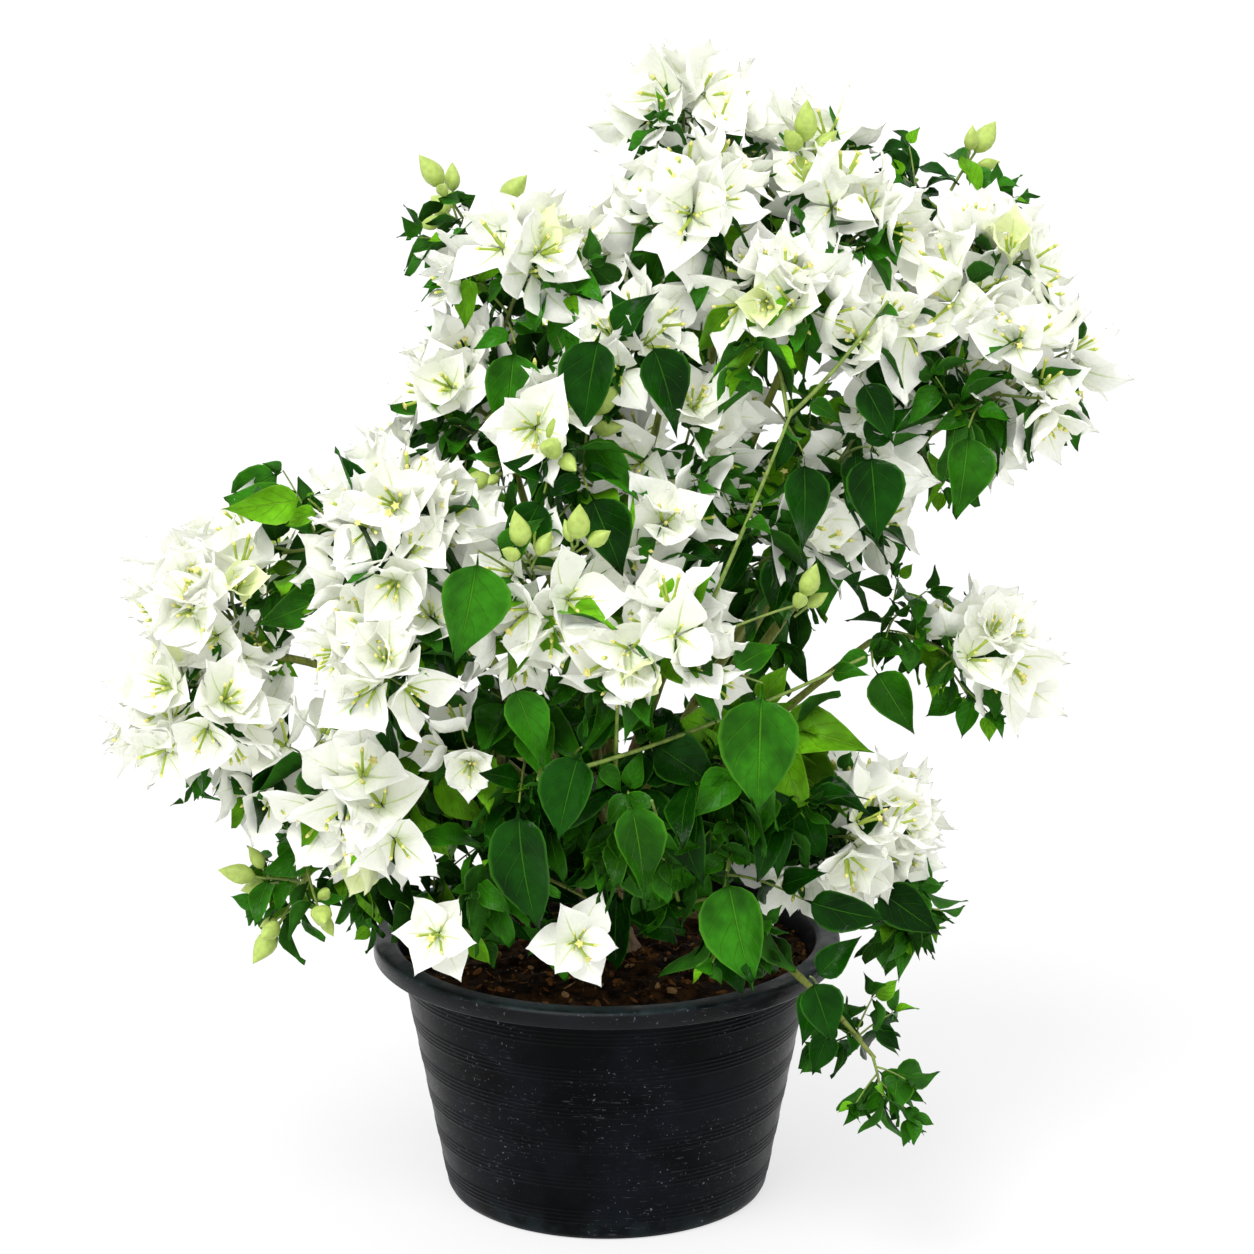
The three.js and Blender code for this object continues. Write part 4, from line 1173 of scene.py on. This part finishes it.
def plastic_material(name, settings, specular):
    """Black plastic with fine scratches, and dust on the lip and round the foot."""
    look = Look(name, settings.plastic, 0.36, specular)
    place = look.node("ShaderNodeTexCoord", None, "Object")
    height = look.node("ShaderNodeSeparateXYZ", {0: place}, "Z")
    clouds = look.noise(22, 6)
    tone = look.blend(look.ramp(clouds, 0.35, 0.68), darker(look.base, 0.35), darker(look.base, 2.4))
    lip = look.ramp(height, (POT_HEIGHT - 3) * MM, (POT_HEIGHT - 0.6) * MM)
    lip_dust = look.times(lip, look.mottle(60, 8, 0.36, 0.7, 0.15, 0.9))
    foot = look.ramp(height, 0.022, 0, 0, 0.5)
    dust = look.most(lip_dust, look.times(foot, look.mottle(45, 8, 0.4, 0.65)))
    tone = look.blend(dust, tone, tuple(settings.dust))
    streaks = look.mottle(110, 4, 0.62, 0.70, 0, 0.34, stretch=(1, 1, 9))
    specks = look.mottle(480, 1, 0.70, 0.76)
    marks = look.times(look.most(streaks, specks), look.mottle(16, 3, 0.38, 0.60))
    look.set("Base Color", look.blend(marks, tone, tuple(settings.scratch)))
    satin = look.ramp(clouds, 0.3, 0.7, 0.26, 0.42)
    look.set("Roughness", look.calculate("ADD", satin, look.times(dust, 0.3)))
    look.bump(look.calculate("ADD", look.noise(900, 2), look.times(streaks, -1.5)), 0.3, 0.0005)
    return look.material


def soil_material(name, tone, second, grain):
    look = Look(name, tone, 0.9, 0.08)
    look.set("Base Color", look.blend(look.mottle(grain, 8, 0.4, 0.66, rough=0.7), tone, second))
    look.bump(look.noise(grain * 3, 6), 0.6, 0.0012)
    return look.material


def bark_material(settings):
    """Green young bark that turns tan and furrowed with age, which each vertex carries."""
    look = Look("cane_bark", settings.old_bark, 0.62, 0.35)
    green = tuple(settings.green_bark)
    age = look.node("ShaderNodeAttribute", None, "Fac", attribute_name="age")
    patchy = look.calculate("ADD", age, look.mottle(160, 6, 0.3, 0.7, -0.28, 0.28, stretch=(1, 1, 0.25)))
    fine = look.mottle(420, 4, 0.42, 0.68, stretch=(1, 1, 0.3))
    wood = look.blend(fine, look.base, darker(look.base, 0.42))
    skin = look.blend(fine, green, darker(green, 0.62))
    look.set("Base Color", look.blend(look.ramp(patchy, 0.5, 0.92), skin, wood))
    look.bump(look.noise(700, 5, (1, 1, 0.2)), 0.45, 0.0006)
    return look.material


def shoot_material(settings):
    look = Look("green_twig", settings.shoot, 0.5, 0.5)
    age = look.node("ShaderNodeAttribute", None, "Fac", attribute_name="age")
    olive = look.blend(look.ramp(age, 0, 0.15), look.base, tuple(settings.green_bark))
    look.set("Base Color", look.blend(look.mottle(180, 4, 0.35, 0.7), olive, darker(look.base, 0.55)))
    look.bump(look.noise(900, 3), 0.25, 0.0004)
    return look.material


def leaf_material(name, tone, vein_and_edge_highlight_tone, roughness):
    """A glossy blade with a pale midrib and side veins, and a painted highlight along its edge."""
    look = Look(name, tone, roughness, 0.07)
    midrib, side, away, _ = look.veins(5.5, 1.9, 0.05, 0.05)
    body = look.blend(look.mottle(26, 3, 0.34, 0.66), darker(look.base, 0.45), darker(look.base, 1.5))
    body = look.blend(look.mottle(160, 4, 0.35, 0.7, 0, 0.4), body, darker(look.base, 0.7))
    # The pale band along the edge is a painted highlight, in the colour of the veins
    veins = look.most(look.times(midrib, 0.6), look.ramp(away, 0.86, 1, 0, 0.6))
    veins = look.most(veins, look.times(side, 0.5))
    look.set("Base Color", look.blend(veins, body, vein_and_edge_highlight_tone))
    look.set("Roughness", look.mottle(120, 4, 0.3, 0.7, roughness - 0.06, roughness + 0.08))
    swell = look.times(look.noise(110, 3), 1.2)
    look.bump(look.calculate("SUBTRACT", swell, look.most(midrib, side)), 0.8, 0.0014)
    return look.material


def bract_material(name, tone, rib_tone, glow):
    """Papery white with a soft yellow green rib near its base and fine veins. A faint glow is
    painted light that stands for the daylight shining through it."""
    look = Look(name, tone, 0.55, 0.3)
    # Painted light: the bract glows evenly in its own colour, standing for daylight shining through it
    look.set("Emission Color", (*look.base, 1))
    look.set("Emission Strength", glow)
    midrib, side, _, along = look.veins(6.5, 2.2, 0.06, 0.04)
    rib = look.times(midrib, look.ramp(along, 1.0, 0.1, 0.12, 0.85))
    stain = look.most(rib, look.times(look.ramp(along, 0.3, 0.02), 0.4))
    shaded = look.blend(look.times(side, 0.10), look.base, tuple(rib_tone))
    look.set("Base Color", look.blend(stain, shaded, tuple(rib_tone)))
    look.bump(look.calculate("ADD", look.times(side, 0.5), look.noise(170, 4)), 0.5, 0.0016)
    return look.material


def soft_material(name, tone, roughness):
    """A plain fleshy finish with a little mottling, for tubes, stars and buds."""
    look = Look(name, tone, roughness, 0.35)
    look.set("Base Color", look.blend(look.mottle(260, 3, 0.35, 0.7), look.base, darker(look.base, 0.8)))
    look.bump(look.noise(600, 2), 0.2, 0.0003)
    return look.material


# The pieces

def on_wall(height, out=0):
    return wall_radius(height) + out, height


class PLANT_OT_pot(Operator):
    """Turns the pot's wall with its lip and its groups of fine rings"""

    bl_idname = "plant.build_pot"
    bl_label = "Build Pot"

    def execute(self, context):
        settings = context.scene.pot
        foot, lip, rim, top = FOOT_RADIUS, LIP_INNER_RADIUS, RIM_RADIUS, POT_HEIGHT
        band = top - RIM_BAND
        profile = [(0, 0.8), (foot - 12, 0.8), (foot - 9, 0), (foot - 3, 0), (foot - 0.9, 0.9),
                   on_wall(4), on_wall(9), *self.rings(settings, band), on_wall(band - 4),
                   (wall_radius(band) + 0.4, band - 1), on_wall(band, 2), (rim - 1, band),
                   (rim, band + 1), (rim, top - 3), (rim - 0.6, top - 1.2), (rim - 2, top - 0.2),
                   (rim - 3.5, top), (lip + 3, top), (lip + 1, top - 0.6), (lip, top - 2),
                   (lip - 1.6, top - 6), on_wall(SOIL_EDGE_HEIGHT, -WALL), on_wall(WALL, -WALL), (0, WALL)]
        pot = link(mesh_object("nursery_pot", *lathe(profile, POT_SIDES)))
        for name, specular in (("black_plastic_wall", 0.05), ("black_plastic_rim", 0.16)):
            pot.data.materials.append(plastic_material(name, settings, specular))
        for face in pot.data.polygons:
            if face.center.z > (band - 0.5) * MM and face.center.to_2d().length > lip * MM:
                face.material_index = 1
        pot.data.set_sharp_from_angle(angle=math.radians(50))
        settle(pot, "pot", "pot")
        return {"FINISHED"}

    def rings(self, settings, band):
        """The wall's profile through every group of rings, from the foot up."""
        pitch = settings.ring_pitch / MM
        depth = settings.ring_depth / MM
        points = []
        for group in range(settings.ring_groups):
            middle = mix(18, band - 13, group / (settings.ring_groups - 1))
            start = middle - pitch * settings.rings_per_group / 2
            points += [on_wall(start - 3), on_wall(start - 1)]
            for ring in range(settings.rings_per_group):
                height = start + ring * pitch
                points += [on_wall(height), on_wall(height + 0.45, depth), on_wall(height + 0.8, depth),
                           on_wall(height + 1.3)]
            points += [on_wall(height + 2.6), on_wall(height + 4.6)]
        return points


class PLANT_OT_soil(Operator):
    """Fills the pot with lumpy soil and strews bark chips over it"""

    bl_idname = "plant.build_soil"
    bl_label = "Build Soil"

    def execute(self, context):
        settings = context.scene.soil
        inner = wall_radius(SOIL_EDGE_HEIGHT) - WALL - SOIL_GAP

        def lumps(point):
            if point.z >= SOIL_EDGE_HEIGHT - 1:
                edge = min(1, (inner - math.hypot(point.x, point.y)) / 12)
                coarse = noise.fractal(point * 0.06, 1, 2, 4)
                point.z += settings.relief / MM * (coarse * 0.7 - 0.25) * edge
            return point

        under = WALL + SOIL_GAP
        profile = [(0, under), (wall_radius(WALL) - WALL - SOIL_GAP, under), (inner, SOIL_EDGE_HEIGHT)]
        for k in range(1, SOIL_RINGS):
            radius = inner * (1 - k / SOIL_RINGS)
            part = min(1, (inner - radius) / (inner - SOIL_FLAT_RADIUS))
            profile.append((radius, mix(SOIL_EDGE_HEIGHT, SOIL_MIDDLE_HEIGHT, part)))
        profile.append((0, SOIL_MIDDLE_HEIGHT))
        vertices, faces = lathe(profile, SOIL_SIDES, lumps)
        damp, brown, tan = tuple(settings.damp), tuple(settings.brown), tuple(settings.tan)
        bed = link(mesh_object("soil_bed", vertices, faces))
        bed.data.materials.append(soil_material("damp_soil", damp, darker(brown, 0.26), 90))
        settle(bed, "soil", "soil")

        top = [face for face in faces if all(vertices[i].z > (SOIL_EDGE_HEIGHT - 1) * MM for i in face)]
        chips = link(mesh_object("soil_chips", vertices, top))
        finishes = [soil_material("dark_chip", damp, darker(brown, 0.36), 200),
                    soil_material("brown_chip", brown, darker(brown, 0.5), 220),
                    soil_material("tan_chip", tan, darker(tan, 0.5), 260)]
        tree = chips_tree([finishes[k] for k in CHIP_DEAL])
        run_tree(chips, tree, self.chip_templates(settings), Density=settings.chip_density, Seed=11)
        settle(chips, "soil")
        return {"FINISHED"}

    def chip_templates(self, settings):
        """Flakes and crumbs: rough six-sided forms of unlike length."""
        size = settings.chip_size / MM
        templates = []
        for number, (long, wide, thick) in enumerate(CHIP_FORMS):
            profile = [(0, -long / 2), (0.7, -long * 0.42), (1, -long * 0.1), (0.85, long * 0.25),
                       (0.4, long * 0.46), (0, long / 2)]
            template = spindle_template(f"chip_{number}", [(r * size / 2, y * size) for r, y in profile], 6)
            for vertex in template.data.vertices:
                rough = 1 + 0.35 * noise.noise(vertex.co / MM * 0.7 + Vector((number * 9, 0, 0)))
                vertex.co.x *= wide * rough
                vertex.co.z *= thick * rough
            template.data.shade_flat()
            templates.append(template)
        return templates


class PLANT_OT_wood(Operator):
    """Sweeps the trunk and all canes, with furrows and swollen nodes in the bark"""

    bl_idname = "plant.build_wood"
    bl_label = "Build Trunk and Canes"

    def execute(self, context):
        settings = context.scene.wood
        plant = plant_of(context)
        vertices, faces, ages = [], [], []
        for number, limb in enumerate(plant.limbs.values()):
            sweep = self.sweep_cane if number else self.sweep_trunk
            swept, made = sweep(limb, settings, number)
            faces += [tuple(len(vertices) + i for i in face) for face in made]
            vertices += swept
            count = len(swept)
            # The pole stands before the first ring
            ages += [mix(limb.base_age, limb.tip_age, k / count) for k in range(-1, count - 1)]
        wood = link(mesh_object("trunk_and_canes", vertices, faces))
        mark(wood, "age", "FLOAT", ages)
        wood.data.materials.append(bark_material(settings))
        settle(wood, "bark", *plant.limbs)
        return {"FINISHED"}

    def sweep_trunk(self, limb, settings, number):
        places = [k / TRUNK_STEPS for k in range(TRUNK_STEPS + 1)]
        radii = [mix(limb.base_radius, limb.tip_radius, at) + TRUNK_FLARE * math.exp(-TRUNK_FLARE_FADE * at)
                 for at in places]

        def furrows(i, angle):
            ridge = noise.noise(polar(3.2, angle, places[i] * 4))
            root = max(0, math.cos(5 * angle + 0.6)) * 3 * math.exp(-9 * places[i])
            knot = noise.noise(polar(1.1, angle, places[i] * 9 + 5))
            return settings.trunk_relief / MM * (abs(ridge) * 3 - 1) + root + knot * 1.1

        return tube([point_on(limb.curve, at) for at in places], radii, TRUNK_SIDES, furrows)

    def sweep_cane(self, limb, settings, number):
        marks = [point_on(limb.curve, k / 20) for k in range(21)]
        span = sum((after - before).length for before, after in zip(marks, marks[1:]))
        steps = int(span / CANE_RING_PITCH)
        spacing = settings.node_spacing / MM
        points, radii = [], []
        for k in range(steps + 1):
            at = k / steps
            spot = Vector((at * span * 0.02, number * 7.3, 0))
            drift = Vector([noise.noise(spot + Vector((0, 0, 9.3 * axis))) for axis in range(3)])
            points.append(point_on(limb.curve, at) + drift * (CANE_SWAY * math.sin(math.pi * at)))
            distance = (at * span) % spacing - spacing / 2
            swell = NODE_SWELL * math.exp(-(distance / NODE_HALF_LENGTH) ** 2)
            collar = COLLAR_SWELL * math.exp(-at * span / COLLAR_LENGTH)
            radii.append(mix(limb.base_radius, limb.tip_radius, at) + swell + collar)

        def ridges(i, angle):
            return settings.cane_relief / MM * noise.noise(polar(1.5, angle, i * 0.12 + number)) * 2

        return tube(points, radii, CANE_SIDES, ridges)


class PLANT_OT_twigs(Operator):
    """Sweeps every stem, twig, shoot and flower stalk, which replace the masses' own wood"""

    bl_idname = "plant.build_twigs"
    bl_label = "Build Twigs"

    def execute(self, context):
        vertices, edges, thickness, ages = [], [], [], []
        for path in plant_of(context).twigs:
            last = len(path.points) - 1
            edges += [(len(vertices) + k, len(vertices) + k + 1) for k in range(last)]
            vertices += [point * MM for point in path.points]
            thickness += [mix(path.base_radius, path.tip_radius, k / last) * MM for k in range(last + 1)]
            ages += [path.age] * (last + 1)
        twigs = link(mesh_object("green_twigs", vertices, edges=edges))
        mark(twigs, "thickness", "FLOAT", thickness)
        mark(twigs, "age", "FLOAT", ages)
        run_tree(twigs, twigs_tree(shoot_material(context.scene.wood)), Sides=6)
        settle(twigs, "bark", *[one.name for one in MASSES])
        return {"FINISHED"}


class PLANT_OT_leaves(Operator):
    """Puts a leaf on every place that the growth rule gives"""

    bl_idname = "plant.build_leaves"
    bl_label = "Build Leaves"

    def execute(self, context):
        settings = context.scene.leaf
        plant = plant_of(context)
        finishes = [leaf_material(name + "_green_leaf", getattr(settings, name), veins, roughness)
                    for name, veins, roughness in LEAF_LOOKS]
        under = leaf_material("leaf_underside", settings.under, UNDER_VEIN_AND_EDGE_HIGHLIGHT, 0.6)
        size = settings.blade_length, settings.blade_width, settings.thickness
        for name, places in in_parts(plant.leaves, "left_leaves", "middle_leaves", "right_leaves").items():
            templates = blade_templates("leaf", LEAF_ROWS, size, 1.1, (9, 2), LEAF_FORMS)
            build_blades(name, "leaves", places, templates, finishes, under)
        return {"FINISHED"}


class PLANT_OT_blossom(Operator):
    """Puts the papery bracts, and the slender tubes between them"""

    bl_idname = "plant.build_blossom"
    bl_label = "Build Blossom"

    def execute(self, context):
        settings = context.scene.blossom
        plant = plant_of(context)
        finishes = [bract_material(name + "_bract", getattr(settings, name), settings.rib, settings.glow)
                    for name in ("white", "cream")]
        size = settings.bract_length, settings.bract_width, settings.thickness
        for name, places in in_parts(plant.bracts, "left_bracts", "right_bracts").items():
            templates = blade_templates("bract", BRACT_ROWS, size, 1.05, (10, 3), BRACT_FORMS)
            build_blades(name, "blossom", places, templates, finishes)
        build_blades("flower_tubes", "blossom", plant.tubes, self.tube_templates(),
                     [soft_material("flower_tube", settings.tube, 0.5)],
                     soft_material("cream_star", settings.star, 0.5))
        return {"FINISHED"}

    def tube_templates(self):
        """A closed tube, and one that ends in a small open star."""
        foot = [(0, 0), (0.8, 0.5), (1.3, 4), (0.85, 8)]
        tip = [(0.95, 14), (1.3, 17.5), (0.7, 19.4), (0, 20)]
        flare = [(1.0, 15), (1.2, 17.5), (3.0, 18.4), (2.7, 18.9), (0.9, 18.3), (0, 18.0)]
        closed = spindle_template("tube_0", foot + tip, 5)
        opened = spindle_template("tube_1", foot + flare, 10)
        for vertex in opened.data.vertices:
            reach = math.hypot(vertex.co.x, vertex.co.z)
            turned = math.atan2(vertex.co.x, vertex.co.z)
            if reach > STAR_NOTCH_FROM and math.cos(5 * turned) <= 0:
                vertex.co.x *= STAR_NOTCH
                vertex.co.z *= STAR_NOTCH
        for template, pale_from in ((closed, 0.018), (opened, 0.0175)):
            pale = [int(face.center.y > pale_from) for face in template.data.polygons]
            mark(template, "under", "INT", pale)
        return [closed, opened]


class PLANT_OT_buds(Operator):
    """Puts the closed buds, three-cornered and pointed"""

    bl_idname = "plant.build_buds"
    bl_label = "Build Buds"

    def execute(self, context):
        profile = [(0, -1), (2.2, 0), (5.2, 3), (7.4, 8), (7.2, 13), (5.3, 18), (2.8, 22.5), (0.9, 25.5),
                   (0, 27)]
        template = spindle_template("bud_0", profile, 12, ridge=0.10)
        finish = soft_material("lime_bud", context.scene.blossom.bud, 0.45)
        build_blades("buds", "blossom", plant_of(context).buds, [template], [finish])
        return {"FINISHED"}


class PLANT_OT_stage(Operator):
    """Sets the plain floor, the soft lights and the camera"""

    bl_idname = "plant.set_stage"
    bl_label = "Set Stage"

    def execute(self, context):
        scene = context.scene
        settings = scene.stage
        corners = [Vector((x, y, 0)) * FLOOR_HALF for x, y in ((-1, -1), (1, -1), (1, 1), (-1, 1))]
        floor = link(mesh_object("floor", corners, [(0, 1, 2, 3)]))
        pale = Look("pale_floor", settings.floor, 0.9, 0.05)
        pale.set("Emission Color", (1, 1, 1, 1))
        pale.set("Emission Strength", settings.floor_glow)
        floor.data.materials.append(pale.material)
        scene.world = bpy.data.worlds.new("white_room")
        scene.world.use_nodes = True
        sky = scene.world.node_tree.nodes["Background"]
        feed(sky, "Color", (1, 1, 1, 1))
        feed(sky, "Strength", settings.sky)
        light = bpy.data.lights.new("key_light", "SUN")
        light.energy = settings.key_strength
        light.angle = settings.key_spread
        lamp = link(bpy.data.objects.new("key_light", light))
        lamp.rotation_euler = Vector(KEY_SHINES).to_track_quat("-Z", "Y").to_euler()
        lens = bpy.data.cameras.new("camera")
        lens.lens = settings.lens
        lens.sensor_width = 36
        lens.clip_end = 100
        camera = link(bpy.data.objects.new("camera", lens))
        camera.location = CAMERA_PLACE
        camera.rotation_euler = (math.radians(90 - CAMERA_LOOKS_DOWN), 0, 0)
        scene.camera = camera
        scene.view_settings.view_transform = "Standard"
        return {"FINISHED"}


class PLANT_PT_sidebar(Panel):
    """Lists the pieces in the order in which they are built"""

    bl_idname = "PLANT_PT_sidebar"
    bl_label = "Potted Bougainvillea"
    bl_space_type = "VIEW_3D"
    bl_region_type = "UI"
    bl_category = "Plant"

    def draw(self, context):
        for operator in OPERATORS:
            self.layout.operator(operator.bl_idname)
        for name in SETTINGS:
            settings = getattr(context.scene, name)
            box = self.layout.box()
            box.label(text=name.title())
            for key in settings.__annotations__:
                box.prop(settings, key)


OPERATORS = (PLANT_OT_stage, PLANT_OT_pot, PLANT_OT_soil, PLANT_OT_wood, PLANT_OT_twigs,
             PLANT_OT_leaves, PLANT_OT_blossom, PLANT_OT_buds)
SETTINGS = {"pot": PotSettings, "soil": SoilSettings, "wood": WoodSettings, "leaf": LeafSettings,
            "blossom": BlossomSettings, "stage": StageSettings}


def register():
    for name, group in SETTINGS.items():
        bpy.utils.register_class(group)
        setattr(bpy.types.Scene, name, PointerProperty(type=group))
    for one in (*OPERATORS, PLANT_PT_sidebar):
        bpy.utils.register_class(one)


def unregister():
    for one in (PLANT_PT_sidebar, *reversed(OPERATORS)):
        bpy.utils.unregister_class(one)
    for name, group in SETTINGS.items():
        delattr(bpy.types.Scene, name)
        bpy.utils.unregister_class(group)


def main():
    register()
    for operator in OPERATORS:
        group, name = operator.bl_idname.split(".")
        getattr(getattr(bpy.ops, group), name)()


if __name__ == "__main__":
    main()
